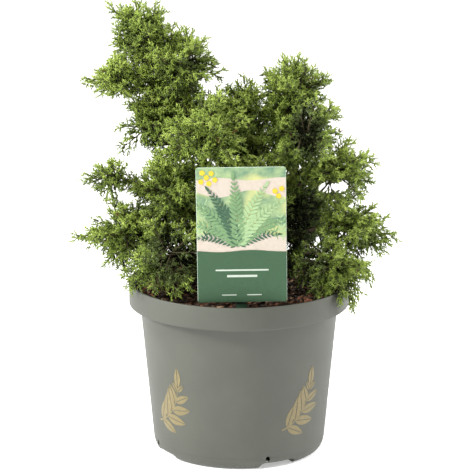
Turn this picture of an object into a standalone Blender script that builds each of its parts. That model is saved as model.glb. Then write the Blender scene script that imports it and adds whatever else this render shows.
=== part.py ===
"""A dwarf Japanese cedar with two leaders, in its 19 cm plastic nursery pot.

Metres, +Z up. The origin is the middle of the pot's flat underside, and the front, with the
plant label, faces -Y. The pot and soil are turned shapes, the limbs are tapering tubes, and
each mass of foliage is grown by one seeded rule from a short stem at its limb's tip.
"""

import math

import bmesh
import bpy
import numpy as np
from mathutils import Matrix, Vector

# Gap left between pieces that touch on the real plant, and by how much more limbs clear each other
GAP = 0.0003
LIMB_CLEARANCE = 1.3 * GAP

# Pot: a three litre container
RIM_RADIUS = 0.095
POT_HEIGHT = 0.149
BAND_HEIGHT = 0.020
BODY_TOP_RADIUS = 0.0855
BODY_FOOT_RADIUS = 0.0740
UNDERSIDE_RADIUS = 0.0700
CORNER_HEIGHT = 0.0070
POT_WALL = 0.0016
POT_STEPS = 40
CORNER_STEPS = 3

# Drainage recesses pressed up into the pot's bottom edge
RECESS_COUNT = 4
RECESS_FIRST_ANGLE = math.radians(-62.0)
RECESS_WIDTH = 0.034
RECESS_HEIGHT = 0.0055
RECESS_INNER_RADIUS = 0.050
RECESS_DEPTH_BELOW = 0.004
RECESS_SLOPE = 0.8 * RECESS_HEIGHT
DRAIN_RADIUS = 0.0032
DRAIN_OFFSET = 0.011
DRAIN_LENGTH = 0.016
DRAIN_LEAN = math.radians(50)
DRAIN_INSET = 0.0050
DRAIN_RISE = 0.0012

# Soil
SOIL_TOP = 0.1412
SOIL_FLAT_RADIUS = 0.0712
SOIL_EDGE_DROP = 0.0020

# Plant label and the stick that carries it
CARD_WIDTH = 0.0745
CARD_HEIGHT = 0.1150
CARD_THICKNESS = 0.0009
CARD_CORNER = 0.0035
CARD_CENTRE = (0.0020, -0.0800, 0.2082)
CARD_LEAN = math.radians(0.8)
STICK_WIDTH = 0.0090
STICK_THICKNESS = 0.0018
STICK_TOP = 0.2000
STICK_BOTTOM = 0.1010
STICK_POINT = 0.0120

# Trunk, from the soil to its fork
TRUNK_RADIUS = 0.0062
TRUNK_FLARE = 0.0115
TRUNK_STEPS = 6
FORK = (-0.0030, 0.0040, 0.1760)

# Each limb: the limb it leaves, the share of that limb's length where it leaves, the
# place of its tip, its radius at the root and at the tip, and how far it sags or arches
LIMBS = {
    "leader_left": ("trunk", 0.93, (-0.0745, 0.008, 0.352), 0.0046, 0.0017, 0.010),
    "leader_right": ("trunk", 0.88, (0.044, 0.006, 0.304), 0.0042, 0.0017, -0.006),
    "bough_left_shoulder": ("leader_left", 0.80, (-0.060, -0.003, 0.340), 0.002, 0.0013, 0.002),
    "bough_left_arm": ("leader_left", 0.72, (-0.090, 0.000, 0.324), 0.0021, 0.0013, -0.003),
    "bough_left_bend": ("leader_left", 0.42, (-0.070, 0.000, 0.276), 0.002, 0.0013, -0.003),
    "bough_left_twig": ("leader_left", 0.20, (-0.089, -0.016, 0.242), 0.0023, 0.0013, -0.004),
    "bough_left_side": ("leader_left", 0.12, (-0.056, -0.018, 0.222), 0.0026, 0.0014, -0.003),
    "bough_left_skirt": ("leader_left", 0.05, (-0.085, -0.012, 0.193), 0.0028, 0.0015, -0.004),
    "bough_front_left": ("trunk", 0.62, (-0.044, -0.031, 0.181), 0.0024, 0.0014, -0.002),
    "bough_front_high": ("leader_left", 0.46, (-0.026, -0.033, 0.283), 0.0024, 0.0014, -0.003),
    "bough_middle": ("leader_right", 0.66, (0.008, 0.004, 0.296), 0.002, 0.0013, -0.002),
    "bough_right_front": ("leader_right", 0.72, (0.048, -0.006, 0.283), 0.002, 0.0013, -0.002),
    "bough_right_shoulder": ("leader_right", 0.40, (0.072, -0.011, 0.248), 0.0024, 0.0014, -0.003),
    "bough_right_arm": ("leader_right", 0.14, (0.082, -0.008, 0.201), 0.0027, 0.0014, -0.005),
    "bough_right_skirt": ("trunk", 0.84, (0.064, -0.022, 0.179), 0.0026, 0.0014, -0.003),
    "bough_back_left_low": ("leader_left", 0.03, (-0.048, 0.044, 0.200), 0.0027, 0.0014, -0.003),
    "bough_back_low": ("trunk", 0.80, (0.002, 0.056, 0.190), 0.0027, 0.0014, -0.003),
    "bough_back_right_low": ("leader_right", 0.06, (0.056, 0.044, 0.204), 0.0026, 0.0014, -0.003),
    "bough_back_left_high": ("leader_left", 0.50, (-0.060, 0.033, 0.290), 0.0021, 0.0013, -0.003),
    "bough_back_middle": ("leader_right", 0.30, (0.010, 0.033, 0.248), 0.0022, 0.0013, -0.003),
    "bough_inner_front": ("leader_left", 0.14, (-0.001, -0.014, 0.206), 0.0024, 0.0014, -0.002),
    "bough_inner_right": ("leader_right", 0.20, (0.033, 0.008, 0.206), 0.0024, 0.0014, -0.002),
    "bough_back_right_high": ("leader_right", 0.50, (0.047, 0.033, 0.269), 0.0021, 0.0013, -0.003),
}

# Each mass of foliage: the limb whose tip bears it, its middle, its half sizes, the
# share of those that its dense heart fills, and how far its sprays lean down, from 0 to 1
MASSES = {
    "foliage_left_top": ("leader_left", (-0.081, 0.005, 0.362), (0.035, 0.035, 0.033), 0.66, 0.0),
    "foliage_left_shoulder": (
        "bough_left_shoulder", (-0.049, -0.006, 0.339), (0.038, 0.037, 0.038), 0.68, 0.1
    ),
    "foliage_left_arm": ("bough_left_arm", (-0.099, 0.000, 0.328), (0.033, 0.033, 0.026), 0.62, 0.2),
    "foliage_left_bend": ("bough_left_bend", (-0.077, -0.003, 0.287), (0.032, 0.033, 0.033), 0.60, 0.4),
    "foliage_left_twig": ("bough_left_twig", (-0.109, -0.020, 0.243), (0.026, 0.023, 0.017), 0.0, 0.3),
    "foliage_left_side": ("bough_left_side", (-0.060, -0.017, 0.236), (0.037, 0.042, 0.036), 0.66, 0.2),
    "foliage_left_skirt": ("bough_left_skirt", (-0.097, -0.013, 0.194), (0.043, 0.043, 0.033), 0.64, 0.4),
    "foliage_front_left": ("bough_front_left", (-0.061, -0.044, 0.184), (0.043, 0.038, 0.033), 0.64, 0.3),
    "foliage_front_high": ("bough_front_high", (-0.030, -0.037, 0.288), (0.042, 0.038, 0.040), 0.66, 0.3),
    "foliage_middle": ("bough_middle", (0.000, 0.002, 0.301), (0.035, 0.036, 0.027), 0.62, 0.1),
    "foliage_right_top": ("leader_right", (0.048, 0.003, 0.318), (0.036, 0.036, 0.031), 0.70, 0.0),
    "foliage_right_front": ("bough_right_front", (0.056, -0.019, 0.279), (0.044, 0.038, 0.037), 0.68, 0.3),
    "foliage_right_shoulder": (
        "bough_right_shoulder", (0.084, -0.012, 0.246), (0.038, 0.040, 0.032), 0.68, 0.3
    ),
    "foliage_right_arm": ("bough_right_arm", (0.095, -0.010, 0.198), (0.045, 0.040, 0.035), 0.68, 0.4),
    "foliage_right_skirt": ("bough_right_skirt", (0.081, -0.034, 0.169), (0.040, 0.038, 0.034), 0.62, 0.8),
    "foliage_inner_right": ("bough_inner_right", (0.045, 0.000, 0.211), (0.036, 0.038, 0.041), 0.64, 0.2),
    "foliage_inner_front": ("bough_inner_front", (0.004, -0.028, 0.229), (0.040, 0.036, 0.040), 0.64, 0.2),
    "foliage_back_left_low": (
        "bough_back_left_low", (-0.058, 0.052, 0.206), (0.044, 0.044, 0.040), 0.64, 0.3
    ),
    "foliage_back_low": ("bough_back_low", (0.006, 0.068, 0.196), (0.042, 0.040, 0.040), 0.64, 0.4),
    "foliage_back_right_low": (
        "bough_back_right_low", (0.066, 0.052, 0.206), (0.044, 0.044, 0.040), 0.64, 0.3
    ),
    "foliage_back_left_high": (
        "bough_back_left_high", (-0.058, 0.042, 0.298), (0.040, 0.037, 0.042), 0.64, 0.1
    ),
    "foliage_back_middle": ("bough_back_middle", (0.000, 0.048, 0.258), (0.040, 0.036, 0.040), 0.64, 0.1),
    "foliage_back_right_high": (
        "bough_back_right_high", (0.052, 0.042, 0.278), (0.040, 0.037, 0.038), 0.64, 0.1
    ),
}

# The furthest tips that a mass reaches, where the crown's outline has them
FAR_TIPS = {
    "foliage_left_top": ((-0.110, 0.000, 0.389), (-0.088, 0.005, 0.391), (-0.069, 0.000, 0.387)),
    "foliage_left_shoulder": ((-0.028, -0.010, 0.3605), (-0.014, -0.010, 0.330), (-0.0435, -0.006, 0.3695)),
    "foliage_left_arm": ((-0.132, 0.000, 0.3245), (-0.121, 0.002, 0.313)),
    "foliage_left_bend": ((-0.1025, -0.005, 0.285), (-0.101, -0.005, 0.264), (-0.072, -0.012, 0.319)),
    "foliage_left_twig": ((-0.132, -0.020, 0.244), (-0.113, -0.025, 0.228), (-0.112, -0.020, 0.257)),
    "foliage_left_skirt": ((-0.143, -0.015, 0.190), (-0.125, -0.015, 0.206), (-0.113, -0.024, 0.168)),
    "foliage_front_left": ((-0.096, -0.046, 0.160), (-0.041, -0.066, 0.203)),
    "foliage_front_high": ((-0.068, -0.040, 0.263), (-0.004, -0.070, 0.269)),
    "foliage_middle": ((0.005, 0.000, 0.325),),
    "foliage_right_top": ((0.0505, 0.000, 0.345), (0.077, 0.000, 0.3255), (0.021, -0.004, 0.318)),
    "foliage_right_front": ((0.0835, -0.015, 0.303), (0.020, -0.030, 0.284)),
    "foliage_right_shoulder": ((0.118, -0.010, 0.256), (0.114, -0.010, 0.236)),
    "foliage_right_arm": ((0.136, -0.010, 0.1885), (0.118, -0.012, 0.217), (0.1235, -0.015, 0.175)),
    "foliage_right_skirt": ((0.100, -0.045, 0.135), (0.115, -0.030, 0.157), (0.078, -0.060, 0.158)),
}

# A mass's stem runs from its limb's tip to a little past the mass's middle
STEM_RADIUS = 0.0020
STEM_STRAIGHT = 0.0025
STEM_PAST_MIDDLE = 0.25

# Its twigs leave the stem over a stretch of its length, in directions spread evenly over a
# sphere and then swayed, and reach the mass's outline or a near neighbour's wall
SEED = 19
TWIGS = 14
LOOSE_TWIGS = 8
TWIG_RADIUS = 0.0016
TWIG_ROOTS = (0.30, 0.95)
TIP_ROOTS = (0.45, 0.20)
TWIG_STRETCH = (0.84, 1.0)
TWIG_SWAY = 0.12
DIRECTION_SWAY = 0.16
LEAST_REACH = 0.60
NEIGHBOUR_REACH = 1.35
TIP_CROWDING = 0.88

# Sprays turn up by the upsweep, less the droop times the mass's own share of it
UPSWEEP = 0.35
DROOP = 1.1
TIP_SAG = 0.4
SHARPEST_BEND = 0.65

# A spray is a slim core with two needles' reach that stand out of it
SPRAY_LENGTH = 0.0300
LONGEST_SHARE = 0.75
CORE_RADIUS = 0.0036
NEEDLE_REACH = 0.0115

# A dense heart has a lobe towards each twig and hollows between them
HEART_LUMPS = 0.10
HEART_HOLLOWS = 0.72
HEART_LOBES = 0.34
LOBE_SHARPNESS = 6
HEART_ABOVE_RIM = 0.003
HEART_BEHIND_CARD = 0.005

# Room kept round masses and limbs, and the steps in which a face is tested for it
TIP_ROOM = 0.0040
MASS_MARGIN = 0.0004
LIMB_MARGIN = 0.0006
FACE_STEPS = 5

# Colours
GREEN = (0.105, 0.175, 0.035)
BARK = (0.120, 0.066, 0.038)
GREY = (0.205, 0.212, 0.190)
SOIL = (0.050, 0.027, 0.015)
CARD_GREEN = (0.085, 0.190, 0.105)
STICK_GREEN = (0.012, 0.035, 0.018)


def clear_scene():
    for obj in list(bpy.data.objects):
        bpy.data.objects.remove(obj, do_unlink=True)


def new_collection(name):
    collection = bpy.data.collections.new(name)
    bpy.context.scene.collection.children.link(collection)
    return collection


def new_material(name, colour, roughness):
    material = bpy.data.materials.new(name)
    material.use_nodes = True
    shader = material.node_tree.nodes["Principled BSDF"]
    shader.inputs["Base Color"].default_value = (*colour, 1.0)
    shader.inputs["Roughness"].default_value = roughness
    shader.inputs["Metallic"].default_value = 0.0
    return material


def mesh_object(name, bm, collection, material=None, smooth=False):
    """An object with bm's faces, which frees bm."""
    mesh = bpy.data.meshes.new(name)
    bm.to_mesh(mesh)
    bm.free()
    if material:
        mesh.materials.append(material)
    if smooth:
        mesh.shade_smooth()
        mesh.set_sharp_from_angle(angle=math.radians(40))
    obj = bpy.data.objects.new(name, mesh)
    collection.objects.link(obj)
    return obj


def as_cutter(obj):
    obj.hide_render = True
    obj.display_type = "WIRE"
    return obj


def evaluated_mesh(obj):
    """A new mesh of the object as its modifiers leave it."""
    bpy.context.view_layer.update()
    graph = bpy.context.evaluated_depsgraph_get()
    return bpy.data.meshes.new_from_object(obj.evaluated_get(graph))


def welded_mesh(curve):
    """A curve object's mesh with its caps welded on."""
    mesh = evaluated_mesh(curve)
    bm = bmesh.new()
    bm.from_mesh(mesh)
    bmesh.ops.remove_doubles(bm, verts=bm.verts, dist=1e-6)
    bmesh.ops.recalc_face_normals(bm, faces=bm.faces)
    bm.to_mesh(mesh)
    bm.free()
    return mesh


def boolean(obj, other, operation):
    """Joins or cuts obj with another object, or with all those of a collection."""
    modifier = obj.modifiers.new(operation.lower(), "BOOLEAN")
    modifier.operation = operation
    if isinstance(other, bpy.types.Collection):
        modifier.operand_type = "COLLECTION"
        modifier.collection = other
    else:
        modifier.object = other
    return modifier


def apply_modifiers(obj):
    mesh = evaluated_mesh(obj)
    obj.modifiers.clear()
    old = obj.data
    obj.data = mesh
    bpy.data.meshes.remove(old)
    return obj


def upright(mesh):
    """Turns a mesh's faces to point out."""
    bm = bmesh.new()
    bm.from_mesh(mesh)
    bmesh.ops.recalc_face_normals(bm, faces=bm.faces)
    bm.to_mesh(mesh)
    bm.free()


# Pot and soil


def body_radius(z):
    """Outer radius of the pot's tapering body at a height."""
    share = (z - CORNER_HEIGHT) / (POT_HEIGHT - BAND_HEIGHT - CORNER_HEIGHT)
    return BODY_FOOT_RADIUS + share * (BODY_TOP_RADIUS - BODY_FOOT_RADIUS)


def corner_arc(outer, inner, low, high, count):
    """Points round the pot's bottom corner, from the body down to the underside."""
    points = []
    for step in range(1, count + 1):
        turn = math.radians(90) * step / count
        points.append((inner + (outer - inner) * math.cos(turn), high - (high - low) * math.sin(turn)))
    return points


def turned(name, profile, collection, material):
    """A closed solid turned round Z from an outline that starts and ends on the axis."""
    bm = bmesh.new()
    points = [bm.verts.new((r, 0, z)) for r, z in profile]
    for first, second in zip(points, points[1:]):
        bm.edges.new((first, second))
    obj = mesh_object(name, bm, collection, material)
    screw = obj.modifiers.new("turn", "SCREW")
    screw.axis = "Z"
    screw.steps = POT_STEPS
    screw.render_steps = POT_STEPS
    screw.use_merge_vertices = True
    screw.merge_threshold = 0.00001
    apply_modifiers(obj)
    upright(obj.data)
    obj.data.shade_smooth()
    obj.data.set_sharp_from_angle(angle=math.radians(40))
    return obj


def pot_outside():
    """The pot's outline from its rim down its outer side to the middle of its underside."""
    shelf = POT_HEIGHT - BAND_HEIGHT
    edge = 0.0006
    outline = [
        (RIM_RADIUS - edge, POT_HEIGHT),
        (RIM_RADIUS, POT_HEIGHT - edge),
        (RIM_RADIUS, shelf + 2 * edge),
        (RIM_RADIUS - 2 * edge, shelf),
        (BODY_TOP_RADIUS + edge, shelf),
        (BODY_TOP_RADIUS, shelf - edge),
        (BODY_FOOT_RADIUS, CORNER_HEIGHT),
    ]
    corner = corner_arc(BODY_FOOT_RADIUS, UNDERSIDE_RADIUS, 0.0, CORNER_HEIGHT, CORNER_STEPS)
    return outline + corner + [(0.0, 0.0)]


def pot_inside(inset, corner_steps):
    """The outline of the space in the pot, from its floor to the rim, inset from the outside."""
    shelf = POT_HEIGHT - BAND_HEIGHT + inset
    foot = BODY_FOOT_RADIUS - inset
    corner = corner_arc(foot, UNDERSIDE_RADIUS - inset, inset, CORNER_HEIGHT, corner_steps)
    return (
        [(0.0, inset)]
        + corner[::-1]
        + [
            (body_radius(CORNER_HEIGHT) - inset, CORNER_HEIGHT),
            (body_radius(shelf) - inset, shelf),
            (RIM_RADIUS - inset, shelf),
        ]
    )


def recess_place(index):
    """The matrix that carries a shape from the +X side of the pot to one recess."""
    angle = RECESS_FIRST_ANGLE + index * math.tau / RECESS_COUNT
    return Matrix.Rotation(angle, 4, "Z")


def recess_block(name, grow, outer_radius, place, collection):
    """A block with a sloping roof that fills one recess, grown on all its sides."""
    bm = bmesh.new()
    bmesh.ops.create_cube(bm, size=1.0)
    length = outer_radius - RECESS_INNER_RADIUS + grow
    low = -RECESS_DEPTH_BELOW
    high = RECESS_HEIGHT + grow
    middle = RECESS_INNER_RADIUS - grow + length / 2
    bmesh.ops.scale(bm, vec=(length, RECESS_WIDTH + 2 * grow, high - low), verts=bm.verts)
    bmesh.ops.translate(bm, vec=(middle, 0, (high + low) / 2), verts=bm.verts)
    roof = [e for e in bm.edges if abs(e.verts[0].co.x - e.verts[1].co.x) > length / 2 and e.verts[0].co.z > 0]
    bmesh.ops.bevel(bm, geom=roof, offset=RECESS_SLOPE, segments=2, profile=0.5, affect="EDGES", material=-1)
    bmesh.ops.transform(bm, matrix=place, verts=bm.verts)
    return as_cutter(mesh_object(name, bm, collection))


def drain_hole(index, collection):
    """A slanting drill that opens each recess through the pot's bottom corner."""
    bm = bmesh.new()
    bmesh.ops.create_cone(
        bm, cap_ends=True, segments=10, radius1=DRAIN_RADIUS, radius2=DRAIN_RADIUS, depth=DRAIN_LENGTH
    )
    lean = Matrix.Rotation(DRAIN_LEAN, 4, "Y")
    place = Matrix.Translation((BODY_FOOT_RADIUS - DRAIN_INSET, -DRAIN_OFFSET, RECESS_HEIGHT + DRAIN_RISE))
    bmesh.ops.transform(bm, matrix=recess_place(index) @ place @ lean, verts=bm.verts)
    return as_cutter(mesh_object(f"drain_{index}", bm, collection))


def make_pot(parts, cutters, material):
    rim_lip = [(RIM_RADIUS - POT_WALL, POT_HEIGHT - 0.0004)]
    pot = turned("pot", pot_inside(POT_WALL, CORNER_STEPS) + rim_lip + pot_outside(), parts, material)
    outside = turned("pot_outside", [(0.0, POT_HEIGHT)] + pot_outside(), cutters, material)
    as_cutter(outside)
    for index in range(RECESS_COUNT):
        place = recess_place(index)
        bump = recess_block(f"bump_{index}", POT_WALL, RIM_RADIUS, place, cutters)
        boolean(bump, outside, "INTERSECT")
        apply_modifiers(bump)
        boolean(pot, bump, "UNION")
        apply_modifiers(pot)
    for index in range(RECESS_COUNT):
        recess = recess_block(f"recess_{index}", 0.0, RIM_RADIUS, recess_place(index), cutters)
        boolean(pot, recess, "DIFFERENCE")
        boolean(pot, drain_hole(index, cutters), "DIFFERENCE")
    apply_modifiers(pot)
    pot.data.shade_smooth()
    pot.data.set_sharp_from_angle(angle=math.radians(35))
    return pot


def make_soil(parts, cutters, stick_slot, material):
    """The root ball of soil, which fills the pot and is cut round the stick."""
    outline = pot_inside(POT_WALL + GAP, 1)
    edge = (RIM_RADIUS - POT_WALL - GAP, SOIL_TOP - SOIL_EDGE_DROP)
    top = [(0.0, SOIL_TOP), (SOIL_FLAT_RADIUS, SOIL_TOP), edge]
    soil = turned("soil", top + outline[::-1], parts, material)
    for index in range(RECESS_COUNT):
        room = recess_block(f"soil_room_{index}", POT_WALL + GAP, RIM_RADIUS, recess_place(index), cutters)
        boolean(soil, room, "DIFFERENCE")
    boolean(soil, stick_slot, "DIFFERENCE")
    return apply_modifiers(soil)


# Label


def flat_outline(name, points, thickness, collection):
    """A plate in the XZ plane with the outline given, as a filled and extruded curve."""
    curve = bpy.data.curves.new(name, "CURVE")
    curve.dimensions = "2D"
    curve.fill_mode = "BOTH"
    curve.extrude = thickness / 2
    spline = curve.splines.new("POLY")
    spline.points.add(len(points) - 1)
    for point, (x, z) in zip(spline.points, points):
        point.co = (x, z, 0, 1)
    spline.use_cyclic_u = True
    obj = bpy.data.objects.new(name, curve)
    collection.objects.link(obj)
    obj.rotation_euler = (math.radians(90), 0, 0)
    return obj


def rounded_outline(width, height, corner, steps=4):
    points = []
    for quarter, (sx, sz) in enumerate(((1, 1), (-1, 1), (-1, -1), (1, -1))):
        for step in range(steps + 1):
            turn = math.radians(90) * (quarter + step / steps)
            x = sx * (width / 2 - corner) + corner * math.cos(turn)
            z = sz * (height / 2 - corner) + corner * math.sin(turn)
            points.append((x, z))
    return points


def make_card(parts, material):
    outline = rounded_outline(CARD_WIDTH, CARD_HEIGHT, CARD_CORNER)
    card = flat_outline("label_card", outline, CARD_THICKNESS, parts)
    card.location = CARD_CENTRE
    card.rotation_euler = (math.radians(90), -CARD_LEAN, 0)
    card.data.materials.append(material)
    return card


def stick_at():
    """The middle of the stick's thickness, just behind the card."""
    return CARD_CENTRE[1] + CARD_THICKNESS / 2 + GAP + STICK_THICKNESS / 2


def stick_outline(grow):
    half = STICK_WIDTH / 2 + grow
    return [
        (half, STICK_TOP),
        (-half, STICK_TOP),
        (-half, STICK_BOTTOM + STICK_POINT),
        (0.0, STICK_BOTTOM - grow),
        (half, STICK_BOTTOM + STICK_POINT),
    ]


def make_stick(parts, cutters, material):
    """The pointed stick that carries the card, and the slot that it fills in the soil."""
    stick = flat_outline("label_stick", stick_outline(0.0), STICK_THICKNESS, parts)
    stick.location = (CARD_CENTRE[0], stick_at(), 0)
    stick.data.materials.append(material)
    slot = flat_outline("stick_slot", stick_outline(2 * GAP), STICK_THICKNESS + 2 * GAP, cutters)
    slot.location = stick.location
    mesh = welded_mesh(slot)
    solid = bpy.data.objects.new("stick_slot_solid", mesh)
    solid.matrix_world = slot.matrix_world
    cutters.objects.link(solid)
    bpy.data.objects.remove(slot)
    return as_cutter(solid)


# Limbs


def unit(vector):
    return vector / max(np.linalg.norm(vector), 1e-12)


def trunk_path():
    """Points and radii up the trunk, upright and flared at the soil."""
    foot = np.array((0.0, 0.0, SOIL_TOP + GAP))
    rise = np.array(FORK) - foot
    points = []
    for step in range(TRUNK_STEPS + 1):
        share = step / TRUNK_STEPS
        lean = max(0.0, step - 1) / (TRUNK_STEPS - 1)
        flare = (TRUNK_FLARE - TRUNK_RADIUS) * (1 - share) ** 4
        taper = TRUNK_RADIUS * (1 - 0.15 * share)
        points.append((foot + rise * (lean, lean, share), taper + flare))
    return points


def bent(start, end, lift, steps):
    """Points from start to end along an arch that rises by lift at its middle."""
    start, end = np.array(start), np.array(end)
    shares = np.linspace(0, 1, steps)
    return [start + s * (end - start) + np.array((0, 0, 4 * lift * s * (1 - s))) for s in shares]


def along(path, share):
    """The point of a path at a share of its points."""
    place = share * (len(path) - 1)
    low = min(int(place), len(path) - 2)
    (start, _), (end, _) = path[low], path[low + 1]
    return start + (place - low) * (end - start)


def limb_tip(limb):
    """The place of a limb's tip, moved inward until it is well in its own mass's space."""
    tip = np.array(LIMBS[limb][2])
    mass = next(name for name in MASSES if MASSES[name][0] == limb)
    planes = cell_planes(mass)
    while room_in(planes, tip) < TIP_ROOM:
        tip += 0.05 * (np.array(MASSES[mass][1]) - tip)
    return tip


def limb_paths():
    """Each limb as a list of (point, radius), the trunk first."""
    paths = {"trunk": trunk_path()}
    for name, (parent, share, _, thick, thin, arch) in LIMBS.items():
        root = along(paths[parent], share)
        steps = 9 if name.startswith("leader") else 6
        points = bent(root, limb_tip(name), arch, steps)
        radii = np.linspace(thick, thin, steps)
        paths[name] = list(zip(points, radii))
    return paths


def tube(name, path, collection, material=None, grow=0.0, sides=1):
    """A tapering tube along a path, as a mesh with flat ends."""
    curve = bpy.data.curves.new(name, "CURVE")
    curve.dimensions = "3D"
    curve.bevel_depth = 1.0
    curve.bevel_resolution = sides
    curve.use_fill_caps = True
    spline = curve.splines.new("POLY")
    spline.points.add(len(path) - 1)
    for point, (place, radius) in zip(spline.points, path):
        point.co = (*place, 1)
        point.radius = radius + grow
    made = bpy.data.objects.new(name + "_curve", curve)
    collection.objects.link(made)
    mesh = welded_mesh(made)
    bpy.data.objects.remove(made)
    if material:
        mesh.materials.append(material)
    obj = bpy.data.objects.new(name, mesh)
    collection.objects.link(obj)
    mesh.shade_smooth()
    mesh.set_sharp_from_angle(angle=math.radians(50))
    return obj


def make_limbs(paths, parts, cutters, material):
    """Every limb, cut clear of those made before it. It returns a slightly fatter copy of each."""
    made = {}
    fat = {}
    for name, path in paths.items():
        sides = 4 if name == "trunk" else 2 if name.startswith("leader") else 1
        limb = tube(name, path, parts, material, sides=sides)
        onward = unit(path[-1][0] - path[-2][0])
        longer = path + [(path[-1][0] + onward * LIMB_CLEARANCE, path[-1][1])]
        fat[name] = as_cutter(tube(name + "_fat", longer, cutters, grow=LIMB_CLEARANCE, sides=sides))
        if name != "trunk":
            parent = LIMBS[name][0]
            beside = {parent, "trunk"} | ({"leader_left"} if parent in ("trunk", "leader_right") else set())
            for other in sorted(beside & set(made)):
                boolean(limb, fat[other], "DIFFERENCE")
            apply_modifiers(limb)
            keep_largest(limb)
        made[name] = limb
    return fat


def shells(bm):
    """The mesh's faces in groups that edges join."""
    seen = set()
    groups = []
    for first in bm.faces:
        if first in seen:
            continue
        group = {first}
        waiting = [first]
        while waiting:
            for edge in waiting.pop().edges:
                if len(edge.link_faces) != 2:
                    continue
                new = set(edge.link_faces) - group
                group |= new
                waiting.extend(new)
        seen |= group
        groups.append(group)
    return groups


def spread(faces):
    """The longest side of the faces' box."""
    points = np.array([vert.co[:] for face in faces for vert in face.verts])
    return float((points.max(0) - points.min(0)).max())


def keep_largest(obj):
    """Leaves the object's largest closed shell, which drops loose scraps and fills sealed hollows."""
    bm = bmesh.new()
    bm.from_mesh(obj.data)
    bmesh.ops.triangulate(bm, faces=bm.faces)
    for group in sorted(shells(bm), key=spread)[:-1]:
        bmesh.ops.delete(bm, geom=list(group), context="FACES")
    bmesh.ops.delete(bm, geom=[vert for vert in bm.verts if not vert.link_faces], context="VERTS")
    bm.to_mesh(obj.data)
    bm.free()


# Room for each mass


def cell_planes(name):
    """The flat walls between a mass's own space and its neighbours', as (normal, offset)."""
    middle, size = np.array(MASSES[name][1]), np.mean(MASSES[name][2])
    planes = []
    for other, (_, place, half, _, _) in MASSES.items():
        if other == name:
            continue
        step = np.array(place) - middle
        length = np.linalg.norm(step)
        reach = (length**2 + size**2 - np.mean(half) ** 2) / (2 * length)
        planes.append((step / length, step @ middle / length + reach))
    return planes


def room_in(planes, points):
    """The least distance from any of the points to the walls of the space, inside positive."""
    points = np.atleast_2d(points)
    return min(offset - (points @ normal).max() for normal, offset in planes)


def clear_of_pot(points, margin):
    """True if no point is in the pot, the soil, the label or its stick."""
    points = np.atleast_2d(points)
    radius = np.hypot(points[:, 0], points[:, 1])
    low = points[:, 2] < POT_HEIGHT + margin
    inside = radius < RIM_RADIUS - POT_WALL - margin
    outside = radius > RIM_RADIUS + margin
    in_soil = inside & (points[:, 2] < SOIL_TOP + margin)
    in_pot = low & (in_soil | ~(inside | outside))
    beside = np.abs(points - np.array(CARD_CENTRE))
    half = np.array((CARD_WIDTH / 2, STICK_THICKNESS * 2, CARD_HEIGHT / 2)) + margin
    at_card = (beside < half).all(axis=1)
    near_stick = (beside[:, 0] < STICK_WIDTH) & (beside[:, 1] < 0.006) & (points[:, 2] < CARD_CENTRE[2])
    return not (in_pot | at_card | near_stick).any()


def distance_to_path(points, path):
    """The least distance from any of the points to a limb's surface."""
    points = np.atleast_2d(points)
    least = 1.0
    for (p, r), (q, t) in zip(path, path[1:]):
        step = q - p
        share = np.clip((points - p) @ step / (step @ step), 0, 1)[:, None]
        away = np.linalg.norm(points - (p + share * step), axis=1) - (r + share[:, 0] * (t - r))
        least = min(least, away.min())
    return least


# Growth rule


def even_directions(count, rng):
    """Directions spread evenly over a sphere, each moved a little at random."""
    index = np.arange(count) + 0.5
    height = 1 - 2 * index / count
    turn = index * math.pi * (3 - math.sqrt(5)) + rng.uniform(0, math.tau)
    ring = np.sqrt(1 - height**2)
    spread = np.column_stack((ring * np.cos(turn), ring * np.sin(turn), height))
    spread += rng.normal(0, DIRECTION_SWAY, spread.shape)
    return [unit(v) for v in spread]


def wall_towards(middle, direction, planes):
    """How far the nearest wall of a mass's space is from its middle along a direction."""
    nearest = math.inf
    for normal, offset in planes:
        towards = normal @ direction
        if towards > 1e-6:
            nearest = min(nearest, (offset - MASS_MARGIN - normal @ middle) / towards)
    return nearest


def reach_towards(middle, half, direction, planes):
    """How far a mass reaches along a direction: to its outline, or on to a near neighbour's wall."""
    own = 1 / np.linalg.norm(direction / half)
    wall = wall_towards(middle, direction, planes)
    return wall if wall < own * NEIGHBOUR_REACH else own


def stem_line(name):
    """Where a mass's stem starts, 0.3 mm from its limb's tip, and where it ends."""
    limb, middle = MASSES[name][:2]
    tip = limb_tip(limb)
    return tip, np.array(middle) + STEM_PAST_MIDDLE * (np.array(middle) - tip)


def main_twigs(name):
    """The mass's twigs: each a root on the stem, the tip of its spray and the spray's direction."""
    _, middle, half, fill, droop = MASSES[name]
    middle, half = np.array(middle), np.array(half)
    planes = cell_planes(name)
    rng = np.random.default_rng(SEED + list(MASSES).index(name))
    tip, stem_end = stem_line(name)
    sag = np.array((0.0, 0.0, UPSWEEP - DROOP * droop))
    twigs = []
    for index, far in enumerate(FAR_TIPS.get(name, ())):
        root = tip + (TIP_ROOTS[0] + TIP_ROOTS[1] * index) * (stem_end - tip)
        twigs.append((root, np.array(far), unit(unit(np.array(far) - root) + TIP_SAG * sag)))
    taken = [unit(far - middle) for _, far, _ in twigs]
    for direction in even_directions(TWIGS if fill else LOOSE_TWIGS, rng):
        share, stretch = rng.uniform(*TWIG_ROOTS), rng.uniform(*TWIG_STRETCH)
        sway = rng.normal(0, TWIG_SWAY, 3)
        reach = stretch * reach_towards(middle, half, direction, planes)
        if reach < LEAST_REACH * half.mean() or any(direction @ other > TIP_CROWDING for other in taken):
            continue
        root, far = tip + share * (stem_end - tip), middle + direction * reach
        lean = unit(direction + sway + sag)
        if lean @ unit(far - lean * spray_length(root, far) - root) < SHARPEST_BEND:
            lean = unit(far - root)
        twigs.append((root, far, lean))
    return twigs


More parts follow.
